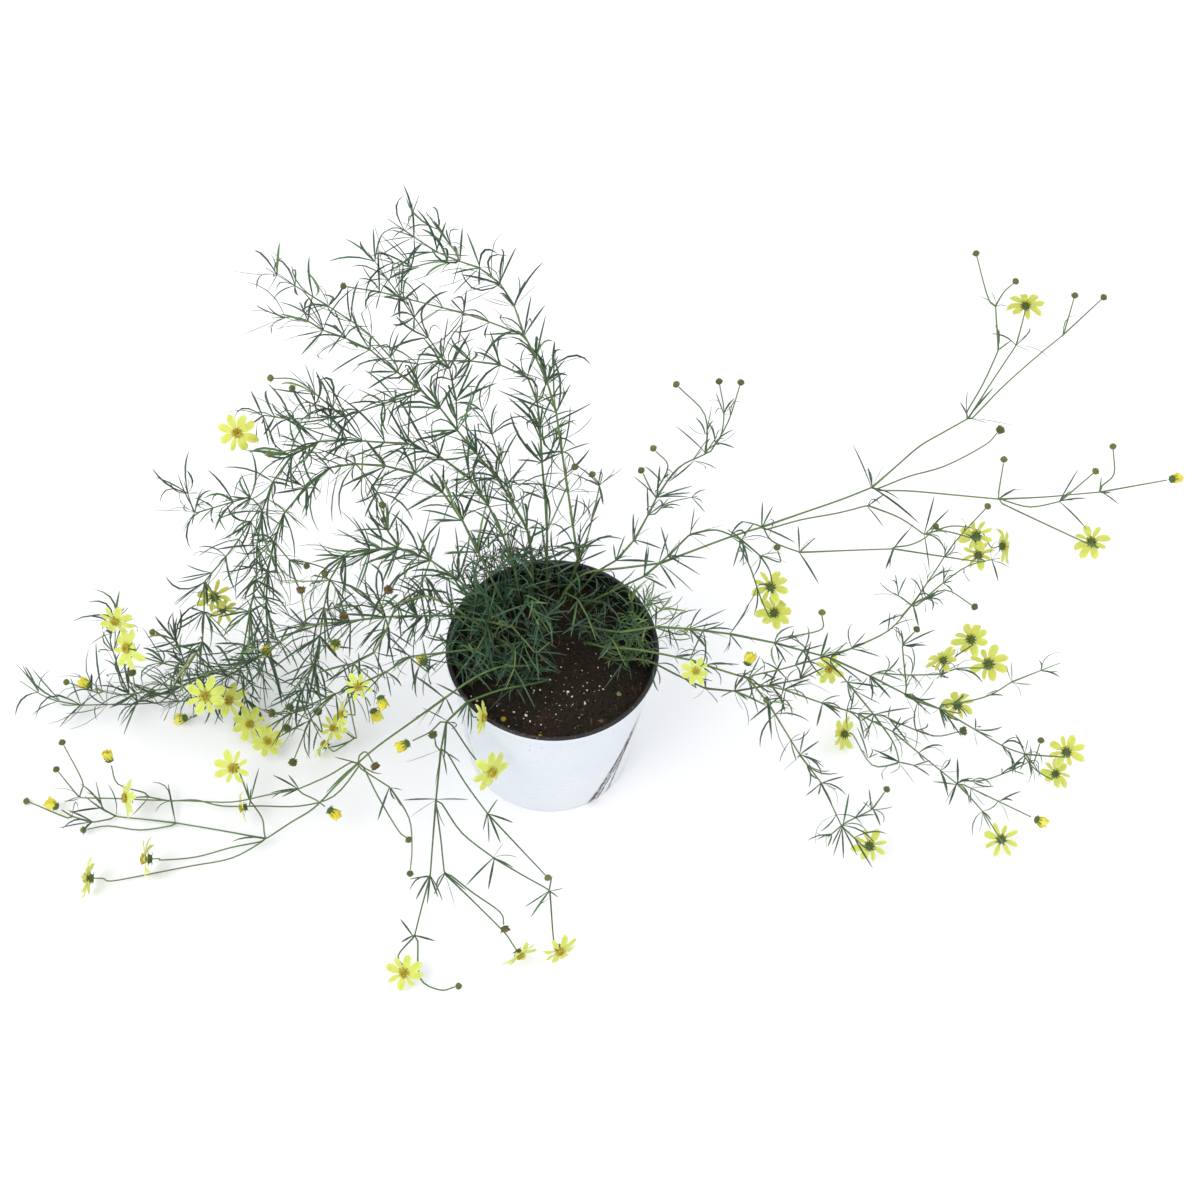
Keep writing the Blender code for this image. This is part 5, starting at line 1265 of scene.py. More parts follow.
class Heads:
    """The buds, spent heads, half-open heads and calyces that shoots end in."""

    plans: dict[End, HeadPlan] = {
        End.CALYX: HeadPlan(3.4, False, 3.3, 3.2, 0, 0.4, (
            Scales(2.0, 8, 3.6, 18.0, 0, 0.55, 1.8), Scales(0.5, 8, 3.6, -2.0, 0, 0.15, 0.8))),
        End.BUD: HeadPlan(2.7, True, 2.9, 2.6, 1, None, (Scales(0.4, 8, 3.4, 42.0, 0, 0.3, 0.8),)),
        End.SPENT: HeadPlan(2.6, False, 3.4, 3.0, 0, 0.2, (
            Scales(1.6, 8, 3.6, 58.0, 2, 0.5, 2.2), Scales(0.5, 8, 3.2, 12.0, 0, 0.3, 0.8))),
        End.HALF: HeadPlan(3.2, False, 3.3, 3.6, 0, 0.5, (
            Scales(0.5, 8, 3.8, 24.0, 0, 0.3, 0.8), Scales(2.4, 8, 4.4, 66.0, 0, 0.6, 2.3),
            Scales(2.4, 8, 9.4, 76.0, 3, 0.7, 1.8, 2.2), Scales(2.4, 5, 9.0, 86.0, 3, 0.4, 0.8, 2.2)))}

    def __init__(self) -> None:
        """Model each kind once, upright along Z with its base at 0."""
        self.bud = self.model_bud()
        self.bract = self.model_bract()
        self.seed = self.model_seed()
        self.cup = self.model_cup()

    def model_bud(self) -> Pattern:
        """A round bud of radius 1 with furrows between its eight closed scales and a low point.

        Returns:
            The bud.
        """
        bpy.ops.mesh.primitive_uv_sphere_add(segments=16, ring_count=9, radius=1.0)
        made = bpy.context.object
        Shaping.edit(made)
        Shaping.pick(made, lambda at: round(math.degrees(math.atan2(at.y, at.x)) / 22.5) % 2 == 0
                     and 0.2 < math.hypot(at.x, at.y))
        Shaping.scale(0.9, 0.9, 1.0, (0.0, 0.0, 0.0))
        Shaping.pick(made, lambda at: at.z > 0.99)
        Shaping.shift(z=0.14)
        bpy.ops.mesh.select_all(action="SELECT")
        Shaping.shift(z=0.9)
        Shaping.done(1e-4)
        return Pattern.taken(made)

    def model_bract(self) -> Pattern:
        """A small pointed scale of length 1 along X that starts at the axis and has a keel.

        Returns:
            The scale.
        """
        bpy.ops.mesh.primitive_grid_add(x_subdivisions=4, y_subdivisions=2, size=1.0,
                                        location=(0.5, 0.0, 0.0))
        made = bpy.context.object
        bpy.ops.object.transform_apply(location=True, rotation=False, scale=False)
        Shaping.edit(made)
        for place, width in ((0.0, 0.2), (0.25, 0.3), (0.5, 0.32), (0.75, 0.22), (1.0, 0.03)):
            Shaping.pick(made, lambda at: abs(at.x - place) < 0.02)
            Shaping.scale(1.0, width, 1.0, (place, 0.0, 0.0))
        Shaping.pick(made, lambda at: abs(at.y) < 0.01)
        Shaping.shift(z=-0.05)
        Shaping.done(1e-5)
        Shaping.harden(made, "SOLIDIFY", thickness=0.06, offset=-1.0)
        return Pattern.taken(made)

    def model_seed(self) -> Pattern:
        """A narrow seed or floret of length 1 along Z with a blunt flared end.

        Returns:
            The seed.
        """
        bpy.ops.mesh.primitive_circle_add(vertices=5, radius=0.12, fill_type="NGON")
        made = bpy.context.object
        Shaping.edit(made)
        for rise, grow in ((0.55, 1.35), (0.35, 1.3), (0.1, 0.45)):
            bpy.ops.mesh.extrude_region_move(TRANSFORM_OT_translate={"value": (0.0, 0.0, rise)})
            bpy.ops.transform.resize(value=(grow, grow, 1.0))
        Shaping.done(1e-5)
        return Pattern.taken(made)

    def model_cup(self) -> Pattern:
        """A calyx cup of radius 1 and height 1 with eight ribs and a rolled rim.

        Returns:
            The cup.
        """
        bpy.ops.mesh.primitive_circle_add(vertices=16, radius=0.32, fill_type="NGON")
        made = bpy.context.object
        Shaping.edit(made)
        radius = 0.32
        for rise, wide in ((0.18, 0.72), (0.27, 0.95), (0.3, 1.0), (0.25, 0.9), (0.0, 0.72)):
            bpy.ops.mesh.extrude_region_move(TRANSFORM_OT_translate={"value": (0.0, 0.0, rise)})
            bpy.ops.transform.resize(value=(wide / radius, wide / radius, 1.0))
            radius = wide
        Shaping.pick(made, lambda at: round(math.degrees(math.atan2(at.y, at.x)) / 22.5) % 2 == 0
                     and at.z > 0.1)
        Shaping.scale(0.9, 0.9, 1.0, (0.0, 0.0, 0.0))
        Shaping.done(1e-5)
        return Pattern.taken(made)

    def ring(self, heap: Heap, base: np.ndarray, axis: np.ndarray, size: float, scales: Scales,
             chance: np.random.Generator) -> None:
        """Set a ring of scales round a head.

        Args:
            heap: the heap that gets them.
            base: the foot of the head.
            axis: the way that the head faces.
            size: what one millimetre of the ring comes to.
            scales: the ring.
            chance: the source of variation.
        """
        at = base + axis * scales.up * size
        side = unit(np.cross(axis, ASIDE))
        other = np.cross(axis, side)
        begun = chance.uniform(0.0, 2 * math.pi)
        for number in range(scales.count):
            turn = begun + 2 * math.pi * number / scales.count
            away = side * math.cos(turn) + other * math.sin(turn)
            lean = math.radians(scales.rise + chance.normal(0.0, 6.0))
            x = away * math.cos(lean) + axis * math.sin(lean)
            z = axis * math.cos(lean) - away * math.sin(lean)
            stood = np.stack([x, np.cross(z, x), z], axis=1)
            length = scales.length * size * chance.uniform(0.88, 1.1)
            shape = self.bract.points * np.array([1.0, scales.broad, 1.0]) * length
            tint = np.clip(scales.tint + chance.normal(0.0, 0.12), 0, 1)
            heap.add(shape @ stood.T + at + away * (scales.out * size), self.bract.faces, scales.finish,
                     tint=tint, along=self.bract.points[:, 0])

    def turned(self, axis: np.ndarray, spin: float) -> np.ndarray:
        """A turn that stands Z along an axis.

        Args:
            axis: where Z goes.
            spin: how far it is turned about that, in radians.
        Returns:
            The turn as a matrix.
        """
        side = unit(np.cross(axis, ASIDE))
        other = np.cross(axis, side)
        x = side * math.cos(spin) + other * math.sin(spin)
        return np.stack([x, np.cross(axis, x), axis], axis=1)

    def place(self, heap: Heap, pattern: Pattern, at: np.ndarray, axis: np.ndarray, wide: float, tall: float,
              finish: int, tint: float, chance: np.random.Generator) -> None:
        """Put one shape at a place, upright along an axis.

        Args:
            heap: the heap that gets it.
            pattern: the shape, upright along Z.
            at: where its foot is.
            axis: the way that it stands.
            wide: its radius.
            tall: its height, as a share of the pattern's.
            finish: which of the piece's finishes it has.
            tint: its tint.
            chance: the source of variation.
        """
        turn = self.turned(axis, chance.uniform(0.0, 2 * math.pi))
        rise = pattern.points[:, 2]
        shape = pattern.points * np.array([wide, wide, tall])
        heap.add(shape @ turn.T + at, pattern.faces, finish, tint=tint,
                 along=(rise - rise.min()) / max(np.ptp(rise), 1e-9))

    def dress(self, stem: Stem, palette: Palette) -> None:
        """Make the heads of one stem as a piece.

        Args:
            stem: the stem as it was read.
            palette: the finishes, of which green, olive, brown and yellow are used.
        """
        chance = np.random.default_rng(11 + sum(map(ord, stem.name)))
        heap = Heap()
        for shoot in stem.shoots:
            plan = self.plans.get(shoot.end)
            if plan is None or shoot.head is None:
                continue
            axis, size = shoot.facing, shoot.size * MM
            base = shoot.head - axis * plan.sunk * size
            core = self.bud if plan.is_closed else self.cup
            tint = chance.uniform(0.1, 0.9) if plan.tint is None else plan.tint
            self.place(heap, core, base, axis, plan.wide * size, plan.tall * size, plan.finish, tint, chance)
            for scales in plan.rings:
                self.ring(heap, base, axis, size, scales, chance)
            if shoot.end is End.SPENT:
                self.florets(heap, base + axis * 1.8 * size, axis, 34, 3.3 * size, 3.2 * size, 2, chance, 0.1)
        if heap.size:
            finishes = [palette.calyx, palette.bud, palette.spent, palette.tuft]
            heap.piece(stem.called("heads"), finishes, Slot.GREEN, stem.stands_for, 45.0)

    def florets(self, heap: Heap, at: np.ndarray, axis: np.ndarray, count: int, reach: float, tall: float,
                finish: int, chance: np.random.Generator, flare: float) -> None:
        """Set seeds or florets in a spiral, as a head carries them, the outer ones leaning out.

        Args:
            heap: the heap that gets them.
            at: the middle of the head.
            axis: the way that it faces.
            count: how many there are.
            reach: how far out they stand.
            tall: how tall they are.
            finish: which of the piece's finishes they have.
            chance: the source of variation.
            flare: how much more the outer ones lean out.
        """
        base = self.turned(axis, chance.uniform(0.0, 2 * math.pi))
        for number in range(count):
            share = math.sqrt((number + 0.5) / count)
            turn = number * GOLDEN_TURN
            away = base[:, 0] * math.cos(turn) + base[:, 1] * math.sin(turn)
            lean = unit(axis + away * share * (flare + 0.35) + chance.normal(0.0, 0.06, 3))
            start = at + away * share * reach * 0.8
            size = tall * chance.uniform(0.85, 1.1) * (1.08 - 0.25 * share)
            tint = np.clip(0.25 + 0.6 * share + chance.normal(0.0, 0.12), 0, 1)
            shape = self.seed.points * np.array([1.25, 1.25, 1.0]) * size
            heap.add(shape @ self.turned(lean, turn).T + start, self.seed.faces, finish, tint=tint,
                     along=np.clip(self.seed.points[:, 2], 0, 1))


# Flowers


@dataclass
class Bloom:
    """One flower of the frame: its disc and the way of each petal."""

    name: str
    centre: np.ndarray
    axis: np.ndarray
    size: float
    petals: list[tuple[np.ndarray, float, float]]

    @classmethod
    def read(cls, name: str) -> "Bloom":
        """Read a flower's node: crown, disc ring and the four corners of each petal's end.

        Args:
            name: the node's name.
        Returns:
            The flower.
        """
        solid = Solid(name)
        spokes = {one: np.linalg.norm(solid.points[sorted(links)] - solid.points[one], axis=1)
                  for one, links in enumerate(solid.links) if len(links) == 8}
        crown = next(one for one, reach in spokes.items() if np.ptp(reach) < 0.3 * MM)
        ring = sorted(solid.links[crown])
        centre = solid.points[ring].mean(axis=0)
        axis = unit(solid.points[crown] - centre)
        reach = np.linalg.norm(solid.points[ring] - centre, axis=1).mean()
        size = float(reach / (4.0 * MM))
        offset = solid.points - centre
        height = offset @ axis
        level = offset - height[:, None] * axis
        far = np.linalg.norm(level, axis=1) > 9.0 * MM * size
        ways = [unit(level[a] + level[b]) for a in ring for b in solid.links[a] if b in ring and a < b]
        petals = []
        for way in ways:
            end = [k for k in np.flatnonzero(far) if unit(level[k]) @ way > 0.95]
            if len(end) >= 3:
                long = float((level[end] @ way).mean()) / size
                petals.append((way, long, float(height[end].mean()) / size + 0.35 * MM))
        return cls(name, centre, axis, size, petals)


@dataclass
class Flowers:
    """The open flowers: broad lemon petals with grooves and notched ends round a golden disc."""

    across: int = 7
    length: int = 9
    width: float = 7.1 * MM
    thickness: float = 0.32 * MM
    begun: float = 2.6 * MM
    outline: tuple[float, ...] = (0.26, 0.46, 0.7, 0.88, 0.99, 1.0, 0.93, 0.74, 0.42)
    grooves: float = 0.035

    def __post_init__(self) -> None:
        """Model the petal once and find the edges that run round it."""
        self.petal = self.model_petal()
        edges = [edge for face in self.petal.faces for edge in zip(face, face[1:] + face[:1])]
        known = set(edges)
        self.border = [(a, b) for a, b in edges if (b, a) not in known]

    def model_petal(self) -> Pattern:
        """A petal of length 1 along X and width 1: shaped row by row, grooved and notched.

        Returns:
            The petal.
        """
        rows, columns = self.length - 1, self.across - 1
        bpy.ops.mesh.primitive_grid_add(x_subdivisions=rows, y_subdivisions=columns, size=1.0,
                                        location=(0.5, 0.0, 0.0))
        made = bpy.context.object
        bpy.ops.object.transform_apply(location=True, rotation=False, scale=False)
        Shaping.edit(made)
        for row, width in enumerate(self.outline):
            place = row / rows
            Shaping.pick(made, lambda at: abs(at.x - place) < 0.01)
            Shaping.scale(1.0, width, 1.0, (place, 0.0, 0.0))
        shape = bmesh.from_edit_mesh(made.data)
        end = sorted((vert for vert in shape.verts if vert.co.x > 0.99), key=lambda vert: vert.co.y)
        for vert, pull in zip(end, (-0.085, -0.03, 0.0, -0.035, 0.0, -0.03, -0.085)):
            vert.co.x += pull
        for vert in shape.verts:
            wide = self.outline[min(int(round(vert.co.x * rows)), rows)]
            if round((vert.co.y / wide + 0.5) * columns) in (2, 4):
                vert.co.z -= self.grooves * min(1.0, vert.co.x * 3)
        bmesh.update_edit_mesh(made.data)
        Shaping.done()
        return Pattern.taken(made)

    def lay(self, heap: Heap, bloom: Bloom, number: int, chance: np.random.Generator) -> None:
        """Lay one petal of a flower and give it its thickness, edges closed.

        Args:
            heap: the heap that gets the petal.
            bloom: the flower.
            number: which petal.
            chance: the source of variation.
        """
        way, reach, lift = bloom.petals[number]
        side = np.cross(bloom.axis, way)
        x, y, z = self.petal.points.T
        long = reach - self.begun
        cup = chance.uniform(-0.9, 1.1) * MM
        curl = chance.uniform(-4.6, 2.4) * MM
        sweep = chance.normal(0.0, 1.0) * MM
        folded = chance.uniform() < 0.3
        wide = self.width * (chance.uniform(0.5, 0.65) if folded else chance.uniform(0.88, 1.06))
        long *= chance.uniform(0.8, 0.92) if folded else chance.uniform(0.93, 1.02)
        out = self.begun + x * long
        over = y * wide + sweep * x ** 2
        rise = z * wide * 0.9 + lift * x ** 1.5 + cup * (2 * y) ** 2 * x + curl * x ** 4
        rise = rise + (0.18 * MM if number % 2 else -0.12 * MM) + 0.35 * MM * np.sin(x * 7 + number) * x
        laid = out[:, None] * way + over[:, None] * side + rise[:, None] * bloom.axis
        top = bloom.centre + laid * bloom.size
        count = len(top)
        under = top - bloom.axis * self.thickness
        faces = list(self.petal.faces)
        faces += [tuple(corner + count for corner in reversed(face)) for face in self.petal.faces]
        faces += [(b, a, a + count, b + count) for a, b in self.border]
        tint = np.clip(chance.normal(0.45, 0.2), 0.0, 1.0)
        heap.add(np.concatenate([top, under]), faces, 0, tint=tint, along=np.tile(x, 2),
                 across=np.tile(np.clip(y + 0.5, 0, 1), 2))

    def dress(self, bloom: Bloom, heads: Heads, palette: Palette) -> None:
        """Make one flower as a piece.

        Args:
            bloom: the flower as it was read.
            heads: the makers of florets.
            palette: the finishes.
        """
        chance = np.random.default_rng(sum(map(ord, bloom.name)) * 3)
        heap = Heap()
        for number in range(len(bloom.petals)):
            self.lay(heap, bloom, number, chance)
        base = bloom.centre - bloom.axis * 1.1 * MM * bloom.size
        unit_size = MM * bloom.size
        heads.place(heap, heads.bud, base, bloom.axis, 3.0 * unit_size, 1.2 * unit_size, 1, 0.2, chance)
        heads.florets(heap, bloom.centre, bloom.axis, 40, 3.2 * unit_size, 3.0 * unit_size, 1, chance, 0.25)
        name = bloom.name.replace("bloom", "flower")
        heap.piece(name, [palette.petal, palette.disc], Slot.YELLOW, bloom.name)


# Pot and potting mix


@dataclass(frozen=True)
class Viewpoint:
    """Where the photograph was taken from, and how its pixels fall on the object."""

    place: tuple[float, float, float] = (0.0346, -0.7595, 1.3625)
    down: float = 56.33
    roll: float = 4.42
    reach: float = 1800.0
    middle: float = 600.0
    lens: float = 54.0

    def axes(self) -> tuple[Vector, Vector, Vector]:
        """The picture's way across, its way up and the way that the eye looks.

        Returns:
            The three directions.
        """
        down, roll = math.radians(self.down), math.radians(self.roll)
        look = Vector((0.0, math.cos(down), -math.sin(down)))
        right = Vector((1.0, 0.0, 0.0))
        up = right.cross(look)
        across = math.cos(roll) * right + math.sin(roll) * up
        upward = -math.sin(roll) * right + math.cos(roll) * up
        return across, upward, look

    def spot(self, column: float, row: float, height: float) -> Vector:
        """The place at a height that is seen at a column and row of the photograph.

        Args:
            column: pixels from the left.
            row: pixels from the top.
            height: metres above the floor.
        Returns:
            The place.
        """
        across, upward, look = self.axes()
        sight = look + across * ((column - self.middle) / self.reach)
        sight = sight - upward * ((row - self.middle) / self.reach)
        eye = Vector(self.place)
        return eye + sight * ((height - eye.z) / sight.z)

    def camera(self) -> None:
        """Stand the camera there."""
        across, upward, look = self.axes()
        eye = bpy.data.cameras.new("eye")
        eye.lens = self.lens
        eye.clip_start, eye.clip_end = 0.05, 20.0
        stand = bpy.data.objects.new("eye", eye)
        turn = Matrix((across, upward, -look)).transposed().to_4x4()
        stand.matrix_world = Matrix.Translation(self.place) @ turn
        bpy.context.scene.collection.objects.link(stand)
        bpy.context.scene.camera = stand


def spun(name: str, profile: list[tuple[float, float]], steps: int) -> bpy.types.Object:
    """Spin a profile of radius and height, which begins and ends on the axis, round Z.

    Args:
        name: the object's name.
        profile: pairs of radius and height.
        steps: how many steps the turn has.
    Returns:
        The closed object.
    """
    mesh = bpy.data.meshes.new(name)
    edges = [(k, k + 1) for k in range(len(profile) - 1)]
    mesh.from_pydata([(radius, 0.0, height) for radius, height in profile], edges, [])
    made = bpy.data.objects.new(name, mesh)
    bpy.context.scene.collection.objects.link(made)
    Shaping.edit(made)
    bpy.ops.mesh.spin(steps=steps, angle=2 * math.pi, center=(0.0, 0.0, 0.0), axis=(0.0, 0.0, 1.0))
    Shaping.done(2e-5)
    return made


@dataclass
class Pot:
    """The thin round pot: white outside, black inside, with a rolled lip and drain holes."""

    height: float = 150.0 * MM
    rim: float = 85.0 * MM
    foot: float = 70.0 * MM
    wall: float = 1.6 * MM
    overhang: float = 2.2 * MM
    lip: float = 9.0 * MM
    pad: float = 36.0 * MM
    lifted: float = 2.5 * MM
    bottom: float = 4.5 * MM
    holes: int = 5
    hole_reach: float = 48.0 * MM
    hole_radius: float = 5.0 * MM
    punched: float = 20.0 * MM
    roll: float = 1.4 * MM
    steps: int = 144

    def outer(self, height: float) -> float:
        """The radius of the outside at a height below the lip."""
        return self.foot + (self.rim - self.overhang - self.foot) * height / self.height

    def profile(self) -> list[tuple[float, float]]:
        """The section: bottom, foot ring, outside, rolled lip, inside.

        Returns:
            Pairs of radius and height, from axis to axis.
        """
        line = [(0.0, 0.0), (self.pad - 2 * MM, 0.0), (self.pad, 0.4 * MM)]
        line += [(self.pad + 2.5 * MM, self.lifted), (59.0 * MM, self.lifted), (61.5 * MM, 0.4 * MM)]
        line += [(62.5 * MM, 0.0), (68.8 * MM, 0.0), (69.7 * MM, 0.5 * MM), (self.foot + 0.1 * MM, 2.0 * MM)]
        under = self.height - self.lip
        for step in range(1, 12):
            line.append((self.outer(under * step / 12), under * step / 12))
        line += [(self.outer(under) - 0.1 * MM, under - 0.2 * MM), (self.rim - 1.0 * MM, under + 0.9 * MM)]
        line += [(self.rim - 0.2 * MM, under + 2.0 * MM), (self.rim, under + 4.0 * MM)]
        line += [(self.rim, self.height - 2.2 * MM)]
        for turn in (30, 60, 90):
            inward, down = 1 - math.cos(math.radians(turn)), 1 - math.sin(math.radians(turn))
            line.append((self.rim - self.roll * inward, self.height - self.roll * down))
        inside = self.outer(self.height) - self.wall
        line += [(inside + 1.0 * MM, self.height), (inside + 0.2 * MM, self.height - 0.3 * MM)]
        line += [(inside - 0.1 * MM, self.height - 1.2 * MM)]
        for step in range(1, 8):
            height = self.height + (self.bottom - self.height) * step / 8
            line.append((self.outer(height) - self.wall, height))
        line += [(self.outer(self.bottom) - self.wall - 1.5 * MM, self.bottom), (0.0, self.bottom)]
        return line

    def build(self, palette: Palette) -> None:
        """Spin the pot, cut its drain holes and dress it in white and black.

        Args:
            palette: the finishes.
        """
        made = spun("pot_shell", self.profile(), self.steps)
        for number in range(self.holes):
            turn = 2 * math.pi * (number + 0.5) / self.holes
            place = (self.hole_reach * math.cos(turn), self.hole_reach * math.sin(turn), self.bottom / 2)
            bpy.ops.mesh.primitive_cylinder_add(vertices=28, radius=self.hole_radius, depth=self.punched,
                                                location=place)
            punch = bpy.context.object
            Shaping.harden(made, "BOOLEAN", operation="DIFFERENCE", solver="EXACT", object=punch)
            bpy.data.objects.remove(punch, do_unlink=True)
        made.data.materials.clear()
        made.data.materials.append(palette.white)
        made.data.materials.append(palette.black)
        for face in made.data.polygons:
            reach = math.hypot(face.center.x, face.center.y)
            inner = reach < self.outer(face.center.z) - self.wall / 2 and face.center.z > self.bottom * 0.9
            face.material_index = 1 if inner or face.center.z > self.height - 1.3 * MM else 0
        finish_piece(made, "pot", 40.0)


@dataclass
class Soil:
    """The potting mix: clods and hollows under a rough skin, with grit, bark and fallen bits.

    Its tables give, for each grain of perlite, a column, a row and a size in millimetres; for each
    patch of dust, a column, a row, a spread in pixels and a count; for what is spilt on the lip, a
    bearing, a spread and a count; for each bit that has dropped, a column, a row, a size, how flat it
    is, its finish and its tint.
    """

    view: Viewpoint
    level: float = 128.0 * MM
    reach: float = 80.2 * MM
    bottom: float = 4.9 * MM
    base_reach: float = 68.0 * MM
    rings: int = 84
    steps: int = 330
    lip: float = 150.0 * MM
    grit_size: float = 0.62
    perlite: tuple[tuple[int, int, float], ...] = (
        (568, 692, 2.0), (572, 697, 1.5), (545, 704, 1.6), (587, 691, 1.3), (585, 704, 1.8), (514, 712, 1.6),
        (526, 716, 2.1), (530, 722, 1.4), (540, 690, 1.5), (534, 691, 1.2), (477, 702, 1.8), (471, 697, 1.3),
        (550, 680, 1.4), (568, 650, 1.3), (606, 605, 1.4), (598, 668, 1.0), (556, 715, 1.2), (497, 706, 1.1),
        (611, 676, 1.2), (579, 718, 1.0), (561, 668, 1.1), (541, 726, 1.2), (603, 690, 1.4))
    dust: tuple[tuple[int, int, float, int], ...] = (
        (560, 701, 15.0, 26), (582, 688, 10.0, 12), (528, 716, 9.0, 8), (555, 680, 22.0, 14))
    spilt: tuple[tuple[float, float, int], ...] = (
        (-0.35, 0.16, 26), (-0.05, 0.1, 10), (0.9, 0.3, 8), (2.4, 0.5, 10))
    dropped: tuple[tuple[int, int, float, float, int, float], ...] = (
        (503, 719, 2.6, 0.5, 0, 0.4), (476, 653, 1.6, 0.3, 1, 0.6), (484, 646, 1.5, 0.3, 1, 0.5),
        (458, 708, 2.4, 0.3, 2, 0.9), (619, 694, 2.2, 0.3, 2, 0.8), (540, 735, 1.6, 0.4, 0, 0.2))

    def height(self, x: float, y: float) -> float:
        """The surface at a place: broad clods, crumbs and a sunken edge.

        Args:
            x: metres to the right of the middle.
            y: metres behind the middle.
        Returns:
            Its height.
        """
        clods = math.sin(95 * x + 1.3) * math.cos(110 * y - 0.4) + 0.5 * math.sin(210 * x - 170 * y)
        broad = noise.noise(Vector((x * 90, y * 90, 3.1)))
        crumb = noise.fractal(Vector((x * 420, y * 420, 7.7)), 0.7, 2.2, 4)
        edge = max(0.0, math.hypot(x, y) / self.reach - 0.93) / 0.07
        rise = 1.5 * MM * clods / 1.5 + 1.1 * MM * broad + 0.9 * MM * crumb
        return self.level + 0.3 * MM + rise * (1 - 0.6 * edge) - 1.8 * MM * edge

    def build(self, palette: Palette) -> None:
        """Make the mix, then what lies on it.

        Args:
            palette: the finishes.
        """
        line = [(0.0, self.level)]
        line += [(self.reach * step / self.rings, self.level) for step in range(1, self.rings + 1)]
        line += [(self.base_reach, self.bottom), (0.0, self.bottom)]
        made = spun("potting_mix", line, self.steps)
        for vert in made.data.vertices:
            if vert.co.z > self.level - 1 * MM:
                vert.co.z = self.height(vert.co.x, vert.co.y)
        made.data.materials.clear()
        made.data.materials.append(palette.soil)
        finish_piece(made, "soil", 80.0)
        chance = np.random.default_rng(5)
        grain = self.model_grain()
        self.scatter(grain, chance, palette)
        self.fallen(grain, chance, palette)

    def model_grain(self) -> Pattern:
        """A rough rounded grain of radius 1.

        Returns:
            The grain.
        """
        bpy.ops.mesh.primitive_ico_sphere_add(subdivisions=2, radius=1.0)
        made = bpy.context.object
        Shaping.edit(made)
        for x, y, z in ((0.9, 0.2, 0.4), (-0.5, 0.8, 0.3), (-0.4, -0.7, 0.6), (0.3, -0.6, -0.7)):
            Shaping.pick(made, lambda at: at.x * x + at.y * y + at.z * z > 0.75)
            Shaping.scale(0.82, 0.82, 0.78, (0.0, 0.0, 0.0))
        Shaping.done(1e-4)
        return Pattern.taken(made)

    def rested(self, heap: Heap, grain: Pattern, at: tuple[float, float], size: float, flat: float,
               finish: int, tint: float, chance: np.random.Generator, level: float | None = None) -> None:
        """Lay one grain at a place, turned any way round.

        Args:
            heap: the heap that gets it.
            grain: its shape.
            at: the place.
            size: its radius.
            flat: how tall it is as a share of that.
            finish: which of the piece's finishes it has.
            tint: its tint.
            chance: the source of variation.
            level: what it lies on, if not the mix.
        """
        turn = Matrix.Rotation(chance.uniform(0, 2 * math.pi), 3, "Z") @ Matrix.Rotation(
            chance.uniform(-0.4, 0.4), 3, "X")
        stretch = chance.uniform(0.8, 1.25)
        shape = grain.points * np.array([stretch, 1 / stretch, flat]) * size
        rest = self.height(*at) if level is None else level
        place = np.array([at[0], at[1], rest + size * flat * 0.45])
        heap.add(shape @ np.array(turn).T + place, grain.faces, finish, tint=tint, along=0.5)

    def scatter(self, grain: Pattern, chance: np.random.Generator, palette: Palette) -> None:
        """Lay white grit, chips and crumbs on the mix, and crumbs on the lip.

        Args:
            grain: the shape of every grain.
            chance: the source of variation.
            palette: the finishes.
        """
        white, chips, crumbs = Heap(), Heap(), Heap()
        for column, row, across in self.perlite:
            at = self.view.spot(column, row, self.level)
            size = across * MM * self.grit_size
            self.rested(white, grain, (at.x, at.y), size, 0.8, 0, chance.uniform(0.3, 1), chance)
        for heap, count, low, high, flat in ((white, 46, 0.3, 0.8, 0.8), (chips, 150, 0.7, 2.6, 0.4),
                                             (crumbs, 420, 0.5, 1.7, 0.8)):
            for _ in range(count):
                turn, out = chance.uniform(0, 2 * math.pi), 78 * MM * math.sqrt(chance.uniform())
                size = low + (high - low) * chance.uniform() ** 2
                self.rested(heap, grain, (out * math.cos(turn), out * math.sin(turn)), size * MM, flat, 0,
                            chance.uniform(), chance)
        for column, row, spread, count in self.dust:
            for _ in range(count):
                at = self.view.spot(column + chance.normal(0, spread), row + chance.normal(0, spread * 0.7),
                                    self.level)
                if math.hypot(at.x, at.y) < self.reach - 5 * MM:
                    self.rested(white, grain, (at.x, at.y), (0.2 + 0.5 * chance.uniform() ** 2) * MM, 0.8, 0,
                                chance.uniform(0.0, 0.6), chance)
        for middle, spread, count in self.spilt:
            for _ in range(count):
                turn = chance.normal(middle, spread)
                out = chance.uniform(82.3, 84.0) * MM
                at = (out * math.sin(turn), -out * math.cos(turn))
                size = chance.uniform(0.3, 0.9) * MM
                self.rested(chips, grain, at, size, 0.8, 0, chance.uniform(0.5, 1), chance, self.lip)
        white.piece("perlite_grit", [palette.perlite], Slot.SOIL, None, 80.0)
        chips.piece("bark_chips", [palette.bark], Slot.SOIL, None, 80.0)
        crumbs.piece("peat_crumbs", [palette.soil], Slot.SOIL, None, 80.0)

    def fallen(self, grain: Pattern, chance: np.random.Generator, palette: Palette) -> None:
        """Lay the spent disc and the bits of leaf and petal that have dropped on the mix.

        Args:
            grain: the shape of every grain.
            chance: the source of variation.
            palette: the finishes.
        """
        heap = Heap()
        for column, row, size, flat, finish, tint in self.dropped:
            at = self.view.spot(column, row, self.level)
            if math.hypot(at.x, at.y) < self.reach - 3 * MM:
                self.rested(heap, grain, (at.x, at.y), size * MM, flat, finish, tint, chance)
        heap.piece("fallen_bits", [palette.disc, palette.petal, palette.leaf], Slot.YELLOW, None, 60.0)


